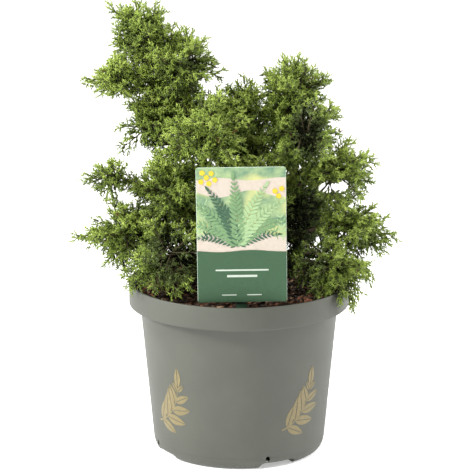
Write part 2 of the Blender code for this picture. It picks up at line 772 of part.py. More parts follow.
def spray_length(root, far):
    """The length of a twig's end spray, which takes up most of a short twig."""
    return min(SPRAY_LENGTH, LONGEST_SHARE * np.linalg.norm(far - root))


def slim_body(rings, length):
    """A closed three-sided body along Z, from a point at 0 to a point at its length.

    Each ring is a height and the reach of its three corners, so a long reach is a needle.
    """
    bm = bmesh.new()
    bmesh.ops.create_uvsphere(bm, u_segments=3, v_segments=len(rings) + 1, radius=1.0)
    levels = sorted({round(vert.co.z, 3) for vert in bm.verts})
    for vert in bm.verts:
        level = levels.index(round(vert.co.z, 3))
        if level in (0, len(rings) + 1):
            vert.co = (0, 0, length if level else 0)
            continue
        height, reaches = rings[level - 1]
        corner = round(math.atan2(vert.co.y, vert.co.x) * 3 / math.tau) % 3
        vert.co = Vector((vert.co.x, vert.co.y, 0)).normalized() * reaches[corner]
        vert.co.z = height
    return bm


def spray_rings(start, length):
    """The rings of a spray whose root is at a height, each with one needle that stands out."""
    low = (NEEDLE_REACH, CORE_RADIUS, CORE_RADIUS)
    high = (CORE_RADIUS, NEEDLE_REACH * 0.8, CORE_RADIUS * 0.8)
    return [(start + 0.45 * length, low), (start + 0.70 * length, high)]


def placed(bm, root, direction, turn):
    frame = Vector(direction).to_track_quat("Z", "Y").to_matrix().to_4x4()
    place = Matrix.Translation(Vector(root)) @ frame @ Matrix.Rotation(turn, 4, "Z")
    bmesh.ops.transform(bm, matrix=place, verts=bm.verts)
    return bm


def twig_with_spray(root, far, lean, turn):
    """A twig that ends in a spray, in one body that bends where the spray starts."""
    length = spray_length(root, far)
    elbow = far - lean * length
    reach = np.linalg.norm(elbow - root)
    along_twig = unit(elbow - root)
    rings = [(reach, (TWIG_RADIUS,) * 3)] + spray_rings(reach, length)
    bm = placed(slim_body(rings, reach + length), root, along_twig, turn)
    for vert in bm.verts:
        past = (np.array(vert.co) - elbow) @ along_twig
        if past > TWIG_RADIUS:
            vert.co += Vector((lean - along_twig) * past)
    return bm


def side_spray(root, far, lean, rng):
    """A spray that leaves a twig forward and to one side."""
    aside = unit(lean + 0.9 * unit(np.cross(lean, rng.normal(0, 1, 3))))
    share, turn = rng.uniform(0.30, 0.45), rng.uniform(0, math.tau)
    start = root + share * (far - root)
    length = 0.9 * spray_length(root, far)
    return placed(slim_body(spray_rings(0.0, length), length), start, aside, turn)


def heart(name, planes, material, collection):
    """A dense mass's heart, from an icosphere drawn out into a lobe towards each of its twigs."""
    _, middle, half, fill, _ = MASSES[name]
    middle, half = np.array(middle), np.array(half)
    rng = np.random.default_rng(1000 + SEED + list(MASSES).index(name))
    floor = (np.array((0.0, 0.0, -1.0)), -(POT_HEIGHT + HEART_ABOVE_RIM))
    front = (np.array((0.0, -1.0, 0.0)), -(CARD_CENTRE[1] + HEART_BEHIND_CARD))
    lobes = np.array([unit(far - middle) for _, far, _ in main_twigs(name)])
    bm = bmesh.new()
    bmesh.ops.create_icosphere(bm, subdivisions=2, radius=1.0)
    for vert in bm.verts:
        direction = unit(np.array(vert.co))
        lobe = HEART_LOBES * max(0.0, (lobes @ direction).max()) ** LOBE_SHARPNESS
        share = fill * (HEART_HOLLOWS + lobe) * (1 + rng.uniform(-HEART_LUMPS, HEART_LUMPS))
        full = share / np.linalg.norm(direction / half)
        reach = min(full, reach_towards(middle, half, direction, planes + [floor, front]))
        vert.co = Vector(middle + direction * reach)
    return mesh_object(name + "_heart", bm, collection, material)


def is_free(bm, planes, paths):
    """True if a body keeps to its mass's own space and clear of the pot, label and limbs."""
    corners = np.array([[loop.vert.co[:] for loop in face] for face in bm.calc_loop_triangles()])
    steps = range(FACE_STEPS + 1)
    shares = [(i, j, FACE_STEPS - i - j) for i in steps for j in steps if i + j <= FACE_STEPS]
    points = (np.array(shares) / FACE_STEPS @ corners).reshape(-1, 3)
    if room_in(planes, points) < MASS_MARGIN or not clear_of_pot(points, LIMB_MARGIN):
        return False
    return all(distance_to_path(points, path) > LIMB_MARGIN for path in paths.values())


def grow_mass(name, paths, fat, parts, material):
    """One mass of foliage: its stem, heart, twigs and sprays, joined into one solid."""
    limb, middle, half, fill, _ = MASSES[name]
    planes = cell_planes(name)
    loose = new_collection(name + "_pieces")
    (before, _), (tip, tip_radius) = paths[limb][-2:]
    onward = unit(tip - before)
    start = tip + onward * GAP
    bend = start + onward * STEM_STRAIGHT
    stem = [(start, tip_radius), (bend, STEM_RADIUS), (stem_line(name)[1], TWIG_RADIUS)]
    body = tube(name, stem, parts, material, sides=0)
    if fill > 0:
        core = heart(name, planes, material, loose)
        for other, path in paths.items():
            if distance_to_path(np.array(middle), path) < max(half):
                boolean(core, fat[other], "DIFFERENCE")
        keep_largest(apply_modifiers(core))
    rng = np.random.default_rng(2000 + SEED + list(MASSES).index(name))
    bodies = []
    for root, far, lean in main_twigs(name):
        bodies.append(twig_with_spray(root, far, lean, rng.uniform(0, math.tau)))
        if fill == 0:
            bodies.append(side_spray(root, far, lean, rng))
    for bm in bodies:
        if is_free(bm, planes, paths):
            mesh_object(name + "_spray", bm, loose)
        else:
            bm.free()
    boolean(body, loose, "UNION")
    apply_modifiers(body)
    for obj in list(loose.objects):
        bpy.data.objects.remove(obj)
    bpy.data.collections.remove(loose)
    keep_largest(body)


def main():
    clear_scene()
    parts = new_collection("potted_japanese_cedar")
    cutters = new_collection("cutters")
    grey = new_material("pot_grey", GREY, 0.45)
    soil = new_material("soil", SOIL, 0.95)
    bark = new_material("bark", BARK, 0.9)
    green = new_material("foliage", GREEN, 0.6)
    card = new_material("card", CARD_GREEN, 0.4)
    dark = new_material("stick", STICK_GREEN, 0.5)
    make_pot(parts, cutters, grey)
    make_card(parts, card)
    slot = make_stick(parts, cutters, dark)
    make_soil(parts, cutters, slot, soil)
    paths = limb_paths()
    fat = make_limbs(paths, parts, cutters, bark)
    for name in MASSES:
        grow_mass(name, paths, fat, parts, green)


main()
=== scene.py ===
# %% [markdown]
# # A potted Japanese cedar
# A young dwarf Japanese cedar stands in its grey plastic pot, with a plain plant label stuck in the soil.
# The frame gives every solid at its real size. This file dresses it: the limbs get bark, each mass of
# foliage becomes twigs and needles, and the pot, soil and label get their fine shapes and finishes.
# All sizes are in metres, +Z is up, and the plant's front faces -Y.

# %% Load the frame
import math

import bmesh
import bpy
import numpy as np
from mathutils import Matrix, Vector, noise


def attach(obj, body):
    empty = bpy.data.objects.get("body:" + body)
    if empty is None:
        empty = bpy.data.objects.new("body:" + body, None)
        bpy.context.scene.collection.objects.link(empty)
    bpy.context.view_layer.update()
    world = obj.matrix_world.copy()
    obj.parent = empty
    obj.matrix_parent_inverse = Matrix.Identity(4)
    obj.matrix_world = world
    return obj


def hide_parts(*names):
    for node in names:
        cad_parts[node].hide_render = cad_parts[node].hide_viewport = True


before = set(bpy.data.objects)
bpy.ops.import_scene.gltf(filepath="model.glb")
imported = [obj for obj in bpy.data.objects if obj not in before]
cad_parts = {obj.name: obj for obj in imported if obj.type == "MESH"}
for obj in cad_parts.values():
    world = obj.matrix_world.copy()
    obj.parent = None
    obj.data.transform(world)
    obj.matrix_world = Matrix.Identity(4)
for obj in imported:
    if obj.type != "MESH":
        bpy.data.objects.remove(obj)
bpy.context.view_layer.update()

# %% [markdown]
# ## Camera
# A photographer's long lens from a little above: the pot's rim is a flat ellipse and its sides stay
# nearly upright. The place and the lens were worked out from the rim, the band and the foot of the pot.

# %% Camera
PHOTO_PIXELS = 470
FOCAL_PIXELS = 2634.7
SENSOR_WIDTH = 36.0
VIEW_PITCH = math.radians(13.83)
VIEW_PLACE = (-0.0035, -2.2000, 0.7300)

camera = bpy.data.objects.new("camera", bpy.data.cameras.new("camera"))
bpy.context.scene.collection.objects.link(camera)
camera.location = VIEW_PLACE
camera.rotation_euler = (math.pi / 2 - VIEW_PITCH, 0, 0)
camera.data.sensor_width = SENSOR_WIDTH
camera.data.lens = SENSOR_WIDTH * FOCAL_PIXELS / PHOTO_PIXELS
camera.data.clip_end = 20
bpy.context.scene.camera = camera
print("lens:", round(camera.data.lens, 1), "mm")

# %% [markdown]
# ## Helpers for pieces
# Every piece is a mesh whose object stays at the origin, so that what is measured in the frame can be
# used as it is. `finish_piece` makes the object, shades it, and lets it ride on the plant's one body.

# %% Helpers for pieces
SHORTEST = 1e-12
CORNER_STYLE = {"profile": 0.5, "affect": "EDGES", "material": -1}


def in_scene(name, data):
    """A new object in the scene, at the origin."""
    made = bpy.data.objects.new(name, data)
    bpy.context.scene.collection.objects.link(made)
    return made


def finish_piece(name, mesh, materials, replaces=(), smooth_angle=40):
    """An object for a finished mesh, which rides on the plant's body."""
    for material in materials:
        mesh.materials.append(material)
    if smooth_angle:
        mesh.shade_smooth()
        mesh.set_sharp_from_angle(angle=math.radians(smooth_angle))
    piece = in_scene(name, mesh)
    if replaces:
        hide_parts(*replaces)
    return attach(piece, "root")


def mesh_from(name, bm):
    """A mesh with a bmesh's faces, which point outwards. It frees the bmesh."""
    bmesh.ops.recalc_face_normals(bm, faces=bm.faces)
    mesh = bpy.data.meshes.new(name)
    bm.to_mesh(mesh)
    bm.free()
    return mesh


def add_grid(bm, steps):
    """The corners of a new strip of faces, one metre square and flat in XY."""
    return bmesh.ops.create_grid(bm, x_segments=steps, y_segments=1, size=0.5)["verts"]


def mesh_of_copies(name, sets):
    """One mesh from sets of small bodies: (corners, tones, faces of one body)."""
    points, triangles, tones, first = [], [], [], 0
    for corners, tone, faces in sets:
        count, size = corners.shape[:2]
        points.append(corners.reshape(-1, 3))
        triangles.append((faces[None] + (first + size * np.arange(count))[:, None, None]).reshape(-1, 3))
        tones.append(np.repeat(tone, len(faces)))
        first += count * size
    mesh = bpy.data.meshes.new(name)
    mesh.from_pydata(np.concatenate(points), (), np.concatenate(triangles), shade_flat=False)
    mesh.polygons.foreach_set("material_index", np.concatenate(tones).astype(np.int32))
    return mesh


def unit(vectors):
    """Vectors of length one, for one vector or a row of them."""
    return vectors / np.maximum(np.linalg.norm(vectors, axis=-1, keepdims=True), SHORTEST)


def metres(millimetres):
    """A number or rows of numbers in metres."""
    return np.array(millimetres) / 1000


# %% [markdown]
# ## Materials
# Grey plastic, bark, peat and card all have the same two things at different scales: soft patches of a
# lighter and a darker colour, and a fine relief. One node group makes both from two noises, and each
# material places it with its own values. Whatever is the same all over is set on the shader itself.


# %% Materials
def add_node(tree, kind, inputs=(), **settings):
    """A new shader node. Each of its inputs, by name or number, gets a value or a link from an output."""
    made = tree.nodes.new("ShaderNode" + kind)
    for name, value in settings.items():
        setattr(made, name, value)
    for key, value in dict(inputs).items():
        if isinstance(value, bpy.types.NodeSocket):
            tree.links.new(value, made.inputs[key])
        else:
            made.inputs[key].default_value = value
    return made


def blended(tree, share, first, second):
    """The output of a mix of two colours, which are inputs 6 and 7 of its node, and output 2."""
    return add_node(tree, "Mix", {"Factor": share, 6: first, 7: second}, data_type="RGBA").outputs[2]


def mottle_group():
    """A node group with patches of two colours and a grain in relief."""
    group = bpy.data.node_groups.new("mottle", "ShaderNodeTree")
    kinds = {"Vector": "Vector", "Patch Scale": "Float", "Contrast": "Float", "Dark": "Color"}
    kinds |= {"Light": "Color", "Grain Scale": "Float", "Grain Depth": "Float"}
    for name, kind in kinds.items():
        group.interface.new_socket(name, in_out="INPUT", socket_type="NodeSocket" + kind)
    for name, kind in {"Colour": "Color", "Normal": "Vector"}.items():
        group.interface.new_socket(name, in_out="OUTPUT", socket_type="NodeSocket" + kind)
    given, result = group.nodes.new("NodeGroupInput").outputs, group.nodes.new("NodeGroupOutput").inputs
    values = {"Vector": given["Vector"], "Scale": given["Patch Scale"], "Detail": 5.0, "Roughness": 0.62}
    patches = add_node(group, "TexNoise", values).outputs["Fac"]
    shifted = add_node(group, "Math", {0: patches, 1: 0.5}, operation="SUBTRACT").outputs[0]
    steeper = {0: shifted, 1: given["Contrast"], 2: 0.5}
    sharper = add_node(group, "Math", steeper, operation="MULTIPLY_ADD", use_clamp=True).outputs[0]
    group.links.new(blended(group, sharper, given["Dark"], given["Light"]), result["Colour"])
    values |= {"Scale": given["Grain Scale"], "Detail": 3.0, "Roughness": 0.55}
    grain = add_node(group, "TexNoise", values).outputs["Fac"]
    relief = add_node(group, "Bump", {"Strength": 1.0, "Height": grain, "Distance": given["Grain Depth"]})
    group.links.new(relief.outputs["Normal"], result["Normal"])
    return group


MOTTLE = mottle_group()


def plain_material(name, colour, roughness, specular=0.5):
    """A material with one colour, for small things that are dealt out by the thousand."""
    material = bpy.data.materials.new(name)
    material.use_nodes = True
    shader = material.node_tree.nodes["Principled BSDF"]
    shader.inputs["Base Color"].default_value = (*colour, 1.0)
    shader.inputs["Roughness"].default_value = roughness
    shader.inputs["Specular IOR Level"].default_value = specular
    return material


def mottled_material(
    name, dark, light, patch, contrast, grain, depth, roughness, source=None, stretch=(1, 1, 1), specular=0.5
):
    """A material whose colour and relief come from the mottle group. Scales are per metre."""
    material = plain_material(name, light, roughness, specular)
    tree = material.node_tree
    if source:
        vector = add_node(tree, "Attribute", attribute_name=source).outputs["Vector"]
    else:
        vector = add_node(tree, "TexCoord").outputs["Object"]
    placed = add_node(tree, "Mapping", {"Vector": vector, "Scale": stretch}).outputs["Vector"]
    values = {"Vector": placed, "Dark": (*dark, 1.0), "Light": (*light, 1.0)}
    values |= {"Patch Scale": patch, "Contrast": contrast, "Grain Scale": grain, "Grain Depth": depth}
    mottle = add_node(tree, "Group", values, node_tree=MOTTLE)
    shader = tree.nodes["Principled BSDF"]
    tree.links.new(mottle.outputs["Colour"], shader.inputs["Base Color"])
    tree.links.new(mottle.outputs["Normal"], shader.inputs["Normal"])
    return material


print("mottle group with", len(MOTTLE.nodes), "nodes")

# %% [markdown]
# ## Light, floor and sky
# The photograph is lit as in a light tent: white all round, brighter at the sides and behind than in
# front, with a large soft light from the upper left. That is why a round pot is dark in its middle and
# bright at both edges. The world is white to the eye, and as a light it dims from the back to the front.

# %% Light, floor and sky
WORLD_FRONT = 0.05
WORLD_BACK = 1.18
SOFT_LIGHTS = {
    "key_light": ((-2.0, -0.75, 1.4), 0.45, 92.0),
    "top_light": ((-0.5, -1.3, 2.0), 0.45, 37.0),
    "edge_light": ((1.9, 0.5, 0.9), 1.0, 44.0),
}
LIGHT_TARGET = Vector((0, 0, 0.2))
FLOOR_HALF = 6.0
FLOOR_TONE = 0.93
FLOOR_GLOW = 0.40


def tent_world():
    """A white world whose light grows from the front of the object to its back."""
    world = bpy.data.worlds.new("white_tent")
    world.use_nodes = True
    tree = world.node_tree
    facing = add_node(tree, "TexCoord").outputs["Generated"]
    depth = add_node(tree, "SeparateXYZ", {"Vector": facing}).outputs["Y"]
    limits = {"From Min": -1.0, "From Max": 1.0, "To Min": WORLD_FRONT, "To Max": WORLD_BACK}
    rise = add_node(tree, "MapRange", {"Value": depth} | limits).outputs["Result"]
    seen = add_node(tree, "LightPath").outputs["Is Camera Ray"]
    either = add_node(tree, "Mix", {"Factor": seen, 2: rise, 3: 1.0})
    background = tree.nodes["Background"].inputs
    background["Color"].default_value = (1.0, 1.0, 1.0, 1.0)
    tree.links.new(either.outputs[0], background["Strength"])
    return world


bpy.context.scene.view_settings.view_transform = "Standard"
bpy.context.scene.world = tent_world()
for name, (place, size, power) in SOFT_LIGHTS.items():
    light = bpy.data.lights.new(name, "AREA")
    light.size, light.energy = size, power
    lamp = in_scene(name, light)
    lamp.location = place
    lamp.rotation_euler = (LIGHT_TARGET - Vector(place)).to_track_quat("-Z", "Y").to_euler()

floor_bm = bmesh.new()
bmesh.ops.create_grid(floor_bm, x_segments=1, y_segments=1, size=FLOOR_HALF)
floor = in_scene("floor", mesh_from("floor", floor_bm))
floor_material = plain_material("pale_floor", (FLOOR_TONE,) * 3, 0.9)
floor_shader = floor_material.node_tree.nodes["Principled BSDF"].inputs
floor_shader["Emission Color"].default_value = (1.0, 1.0, 1.0, 1.0)
floor_shader["Emission Strength"].default_value = FLOOR_GLOW
floor.data.materials.append(floor_material)
print("studio: white tent,", len(SOFT_LIGHTS), "soft lights, pale floor")

# %% [markdown]
# ## Pot
# The pot is an injection-moulded nursery pot: a thin tapered wall, a wide plain band under the rim, and a
# rounded foot with a notch at each quarter where water runs out. A turned part like this is one outline
# spun round the axis. Its corners are rounded in the outline, so that the light catches the lip and the
# edge of the band. The notches come last, as blocks that are added inside and cut outside.

# %% Outline of the pot
POT_RIM_RADIUS = 0.095
POT_HEIGHT = 0.149
POT_BAND_HEIGHT = 0.020
POT_BODY_RADIUS = 0.0855
POT_FOOT_RADIUS = 0.0740
POT_UNDERSIDE_RADIUS = 0.0700
POT_CORNER_HEIGHT = 0.0070
POT_WALL = 0.0016
POT_STEPS = 144
FOOT_LINE_HEIGHT = 0.0105
FOOT_LINE_DEPTH = 0.0003
SAME_PLACE = 1e-6


def body_radius(z):
    """Outer radius of the pot's tapering body at a height."""
    share = (z - POT_CORNER_HEIGHT) / (POT_HEIGHT - POT_BAND_HEIGHT - POT_CORNER_HEIGHT)
    return POT_FOOT_RADIUS + share * (POT_BODY_RADIUS - POT_FOOT_RADIUS)


def rounded(corners, steps):
    """Outline points from (radius, height, rounding) corners, each rounded over its length."""
    places = [np.array(corner[:2]) for corner in corners]
    points = [places[0]]
    for before, place, after, corner in zip(places, places[1:], places[2:], corners[1:]):
        if corner[2] == 0:
            points.append(place)
            continue
        first = place + corner[2] * unit(before - place)
        last = place + corner[2] * unit(after - place)
        for share in np.linspace(0, 1, steps + 1):
            points.append((1 - share) ** 2 * first + 2 * share * (1 - share) * place + share**2 * last)
    return points + [places[-1]]


def turned(points, steps):
    """A closed body from an outline that starts and ends on the axis."""
    bm = bmesh.new()
    chain = [bm.verts.new((r, 0, z)) for r, z in points]
    for first, second in zip(chain, chain[1:]):
        bm.edges.new((first, second))
    axis = {"cent": (0, 0, 0), "axis": (0, 0, 1), "angle": math.tau}
    bmesh.ops.spin(bm, geom=bm.verts[:] + bm.edges[:], **axis, steps=steps, use_merge=True)
    bmesh.ops.remove_doubles(bm, verts=bm.verts, dist=SAME_PLACE)
    bmesh.ops.recalc_face_normals(bm, faces=bm.faces)
    return bm


SHELF = POT_HEIGHT - POT_BAND_HEIGHT
INNER_RIM_RADIUS = POT_RIM_RADIUS - POT_WALL
OUTSIDE_CORNERS = (
    (INNER_RIM_RADIUS, POT_HEIGHT, 0),
    (POT_RIM_RADIUS, POT_HEIGHT, 0.0007),
    (POT_RIM_RADIUS, SHELF, 0.0014),
    (POT_BODY_RADIUS, SHELF, 0.0006),
    (body_radius(FOOT_LINE_HEIGHT), FOOT_LINE_HEIGHT, 0),
    (body_radius(FOOT_LINE_HEIGHT) - FOOT_LINE_DEPTH, FOOT_LINE_HEIGHT - FOOT_LINE_DEPTH, 0),
    (POT_FOOT_RADIUS - FOOT_LINE_DEPTH, POT_CORNER_HEIGHT, 0.0010),
    (POT_UNDERSIDE_RADIUS + 0.0014, 0.0018, 0.0026),
    (POT_UNDERSIDE_RADIUS - 0.0026, 0.0, 0.0012),
    (0.0, 0.0, 0),
)
INSIDE_CORNERS = (
    (0.0, POT_WALL, 0),
    (POT_UNDERSIDE_RADIUS - POT_WALL, POT_WALL, 0.0010),
    (body_radius(POT_CORNER_HEIGHT) - POT_WALL, POT_CORNER_HEIGHT, 0.0010),
    (body_radius(SHELF) - POT_WALL, SHELF + POT_WALL, 0.0010),
    (INNER_RIM_RADIUS, SHELF + POT_WALL, 0.0010),
    (INNER_RIM_RADIUS, POT_HEIGHT - 0.0004, 0),
)
OUTSIDE, INSIDE = rounded(OUTSIDE_CORNERS, 5), rounded(INSIDE_CORNERS, 4)
print("pot outline:", len(OUTSIDE) + len(INSIDE), "points")

# %% [markdown]
# A Boolean modifier cuts a drainage notch cleanly out of a curved wall, where moving vertices would leave
# the wall's thickness uneven. Each notch is a low block with a sloping roof. A slightly larger block is
# first joined on inside, so that the pot stays closed and one wall thick behind the notch.

# %% Notches and drain holes
NOTCH_COUNT = 4
NOTCH_FIRST_ANGLE = math.radians(-62.0)
NOTCH_WIDTH = 0.034
NOTCH_HEIGHT = 0.0055
NOTCH_INNER_RADIUS = 0.050
NOTCH_DEPTH_BELOW = 0.004
DRAIN_RADIUS = 0.0020
DRAIN_OFFSET = 0.011
DRAIN_LENGTH = 0.016
DRAIN_LEAN = math.radians(50)
DRAIN_INSET = 0.0050
DRAIN_RISE = 0.0004
DRAIN_SIDES = 20
ROOF_SLOPE = 0.8


def notch_block(angle, grow):
    """A block with a sloping roof, at an angle round the pot, larger on each side by a margin."""
    bm = bmesh.new()
    length = POT_RIM_RADIUS - NOTCH_INNER_RADIUS + grow
    low, high = -NOTCH_DEPTH_BELOW, NOTCH_HEIGHT + grow
    bmesh.ops.create_cube(bm, size=1.0)
    bmesh.ops.scale(bm, vec=(length, NOTCH_WIDTH + 2 * grow, high - low), verts=bm.verts)
    middle = NOTCH_INNER_RADIUS - grow + length / 2
    bmesh.ops.translate(bm, vec=(middle, 0, (high + low) / 2), verts=bm.verts)
    lengthwise = [e for e in bm.edges if abs(e.verts[0].co.x - e.verts[1].co.x) > length / 2]
    roof = [e for e in lengthwise if e.verts[0].co.z > 0]
    bmesh.ops.bevel(bm, geom=roof, offset=ROOF_SLOPE * NOTCH_HEIGHT, segments=5, **CORNER_STYLE)
    bmesh.ops.rotate(bm, matrix=Matrix.Rotation(angle, 3, "Z"), verts=bm.verts)
    return bm


def drain_drill(angle):
    """A leaning cylinder that bores one drain hole."""
    bm = bmesh.new()
    lean = Matrix.Rotation(DRAIN_LEAN, 4, "Y")
    place = Matrix.Translation((POT_FOOT_RADIUS - DRAIN_INSET, -DRAIN_OFFSET, NOTCH_HEIGHT + DRAIN_RISE))
    matrix = Matrix.Rotation(angle, 4, "Z") @ place @ lean
    radii = {"radius1": DRAIN_RADIUS, "radius2": DRAIN_RADIUS, "depth": DRAIN_LENGTH}
    bmesh.ops.create_cone(bm, cap_ends=True, segments=DRAIN_SIDES, matrix=matrix, **radii)
    return bm


def combined(base, tool, operation):
    """The mesh of a Boolean on two bmeshes. Both are freed."""
    objects = [in_scene(name, mesh_from(name, bm)) for name, bm in (("base", base), ("tool", tool))]
    cut = objects[0].modifiers.new("cut", "BOOLEAN")
    cut.operation, cut.object, cut.solver = operation, objects[1], "EXACT"
    bpy.context.view_layer.update()
    seen = objects[0].evaluated_get(bpy.context.evaluated_depsgraph_get())
    made = bmesh.new()
    made.from_mesh(seen.to_mesh())
    for obj in objects:
        bpy.data.objects.remove(obj)
    return made


def filled_pot():
    """The pot's outline as a solid, a little smaller so that its faces lie inside the pot's wall."""
    inset = POT_WALL / 3
    points = [(max(0.0, r - inset), max(z, inset)) for r, z in OUTSIDE]
    return turned([(0.0, POT_HEIGHT)] + points, POT_STEPS)


def with_notches(pot):
    """The pot with all its notches and drain holes."""
    for index in range(NOTCH_COUNT):
        angle = NOTCH_FIRST_ANGLE + index * math.tau / NOTCH_COUNT
        bump = combined(notch_block(angle, POT_WALL), filled_pot(), "INTERSECT")
        pot = combined(pot, bump, "UNION")
        pot = combined(pot, notch_block(angle, 0.0), "DIFFERENCE")
        pot = combined(pot, drain_drill(angle), "DIFFERENCE")
    return pot


POT_GREY = mottled_material(
    "grey_pot_plastic", (0.044, 0.0468, 0.0342), (0.056, 0.0592, 0.0435), 26, 2.2, 2600, 0.00006, 0.58,
    specular=0.62
)
pot_mesh = mesh_from("pot_shell", with_notches(turned(INSIDE + OUTSIDE, POT_STEPS)))
finish_piece("pot_shell", pot_mesh, [POT_GREY], ["pot"], 35)
print("pot:", len(pot_mesh.polygons), "faces")

# %% [markdown]
# ## Sprigs printed on the pot
# The pot carries a gold print at each quarter. Here it is a plain leafy sprig. Each leaf is a small grid
# of faces that narrows to both ends, with a bare line along its midrib. The flat sprig is then wrapped
# round the pot's cone, a tenth of a millimetre in front of it, like a film of ink.

# %% Leaves and sprigs
INK_DEPTH = 0.0003
INK_PROUD = 0.00012
LEAF_STEP = 0.000006
LEAF_FULLNESS = 0.8
LEAF_SPREAD = (52, -14)
LEAF_SWELL = (0.28, 0.62)
FIRST_LEAF = 0.6
END_LEAF = 0.8
STEM_TAPER = 1.4
STEM_OVERLAP = 1.1


def add_leaf(bm, place, angle, length, width, gap=0.0, steps=5):
    """A flat pointed leaf in the XZ plane, as two halves beside its midrib."""
    for side in (-1, 1):
        made = add_grid(bm, steps)
        for vert in made:
            share, across = vert.co.x + 0.5, vert.co.y + 0.5
            swell = math.sin(math.pi * share**LEAF_FULLNESS) if 0 < share < 1 else 0.0
            half = width / 2 * swell**LEAF_FULLNESS
            inner = min(gap / 2, half)
            vert.co = (share * length, 0, side * (inner + across * (half - inner)))
        turn = Matrix.Rotation(-angle, 4, "Y")
        bmesh.ops.transform(bm, matrix=Matrix.Translation(place) @ turn, verts=made)
        bmesh.ops.remove_doubles(bm, verts=made, dist=SAME_PLACE)


def add_sprig(bm, foot, angle, length, bend, pairs, leaf, gap, stem, steps=5):
    """A curved stem with pairs of leaves and an end leaf. The leaf is its length and width."""
    def at(share):
        """The place and the direction at a share of the stem."""
        middle, reach = angle + bend * share / 2, length * share
        place = Vector((foot[0] + reach * math.cos(middle), 0, foot[1] + reach * math.sin(middle)))
        return place, angle + bend * share

    shares = np.linspace(0, 1, 4 * pairs + 1)
    for start, end in zip(shares, shares[1:]):
        (first, _), (last, _) = at(start), at(end)
        along_stem = last - first
        made = add_grid(bm, 1)
        for vert in made:
            thick = vert.co.y * stem * (STEM_TAPER - start)
            vert.co = (vert.co.x * along_stem.length * STEM_OVERLAP, 0, thick)
        slope = math.atan2(along_stem.z, along_stem.x)
        place = Matrix.Translation((first + last) / 2) @ Matrix.Rotation(-slope, 4, "Y")
        bmesh.ops.transform(bm, matrix=place, verts=made)
    for pair in range(pairs):
        share = (pair + FIRST_LEAF) / pairs
        place, turn = at(share)
        place.y = -2 * LEAF_STEP * pair
        size = math.sin(math.pi * (LEAF_SWELL[0] + LEAF_SWELL[1] * share))
        for side in (-1, 1):
            place.y -= LEAF_STEP
            spread = side * math.radians(LEAF_SPREAD[0] + LEAF_SPREAD[1] * share)
            add_leaf(bm, place, turn + spread, leaf[0] * size, leaf[1] * size, gap, steps)
    place, turn = at(1.0)
    place.y = -LEAF_STEP * (2 * pairs + 1)
    add_leaf(bm, place, turn, leaf[0] * END_LEAF, leaf[1] * END_LEAF, gap, steps)


def thickened(bm, depth):
    """Gives flat faces in the XZ plane a thickness towards +Y."""
    made = bmesh.ops.extrude_face_region(bm, geom=bm.faces[:], use_keep_orig=True)["geom"]
    verts = [item for item in made if isinstance(item, bmesh.types.BMVert)]
    bmesh.ops.translate(bm, vec=(0, depth, 0), verts=verts)
    bmesh.ops.recalc_face_normals(bm, faces=bm.faces)


# %% Sprigs round the pot
SPRIG_COUNT = 4
SPRIG_HEIGHT = 0.0560
SPRIG_FIRST_ANGLE = math.radians(-46.7)
SPRIG_FOOT = (-0.0200, -0.0220)
SPRIG_ANGLE = math.radians(16)
SPRIG_LENGTH = 0.0460
SPRIG_BEND = math.radians(72)
SPRIG_PAIRS = 5
SPRIG_LEAF = (0.0215, 0.0088)
SPRIG_MIDRIB = 0.0007
SPRIG_STEM = 0.0010

GOLD_INK = mottled_material(
    "gold_ink", (0.132, 0.105, 0.041), (0.180, 0.141, 0.056), 400, 2.5, 3000, 0.00003, 0.42
)


def wrapped(bm, angle, height):
    """Wraps a flat shape round the pot, facing the angle from the front."""
    for vert in bm.verts:
        x, y, z = vert.co
        radius = body_radius(height + z) + INK_PROUD - y
        turn = angle + x / body_radius(height + z)
        vert.co = (radius * math.sin(turn), -radius * math.cos(turn), height + z)


sprigs = bmesh.new()
for index in range(SPRIG_COUNT):
    sprig = bmesh.new()
    curve = SPRIG_FOOT, SPRIG_ANGLE, SPRIG_LENGTH, SPRIG_BEND
    add_sprig(sprig, *curve, SPRIG_PAIRS, SPRIG_LEAF, SPRIG_MIDRIB, SPRIG_STEM, 10)
    thickened(sprig, INK_DEPTH)
    wrapped(sprig, SPRIG_FIRST_ANGLE + index * math.tau / SPRIG_COUNT, SPRIG_HEIGHT)
    made = bpy.data.meshes.new("sprig")
    sprig.to_mesh(made)
    sprig.free()
    sprigs.from_mesh(made)
sprig_mesh = mesh_from("pot_sprigs", sprigs)
finish_piece("pot_sprigs", sprig_mesh, [GOLD_INK])
print("sprigs:", len(sprig_mesh.polygons), "faces")

# %% [markdown]
# ## Soil
# The compost is fine dark peat with chips of bark lying in it. Its body is a turned plug whose top is
# pushed up and down by noise. The chips are small boxes with shifted corners, strewn flat over it in
# four plain browns and kept inside the rim.

# %% Soil
SOIL_TOP = 0.1412
SOIL_EDGE_DROP = 0.0020
SOIL_EDGE_START = 0.0712
SOIL_EDGE_WIDTH = 0.02
SOIL_BOTTOM = 0.0120
SOIL_GAP = 0.0004
SOIL_RADIUS = INNER_RIM_RADIUS - SOIL_GAP
SOIL_RINGS = 40
SOIL_STEPS = 96
SOIL_LUMPS = 0.0016
LUMP_SCALE = 90
LUMP_LEVEL = 0.3
LUMP_NOISE = (0.8, 2.0, 4)
CHIP_COUNT = 2600
CHIP_SEED = 5
CHIP_SPREAD = (0.02, 1)
CHIP_SIZES = ((0.0012, 0.0008, 0.0003), (0.0036, 0.0021, 0.0009))
CHIP_SHAPE = (0.55, 1.1)
CHIP_TILTS = (0.5, 0.5, math.pi)
CHIP_MARGIN = 0.004
CHIP_LIFT = 0.0014
CHIP_TONES = {
    "dark": (0.030, 0.017, 0.010),
    "brown": (0.085, 0.042, 0.022),
    "red": (0.150, 0.058, 0.028),
    "pale": (0.300, 0.190, 0.100),
}
CHIP_SHARES = (0.42, 0.34, 0.17, 0.07)
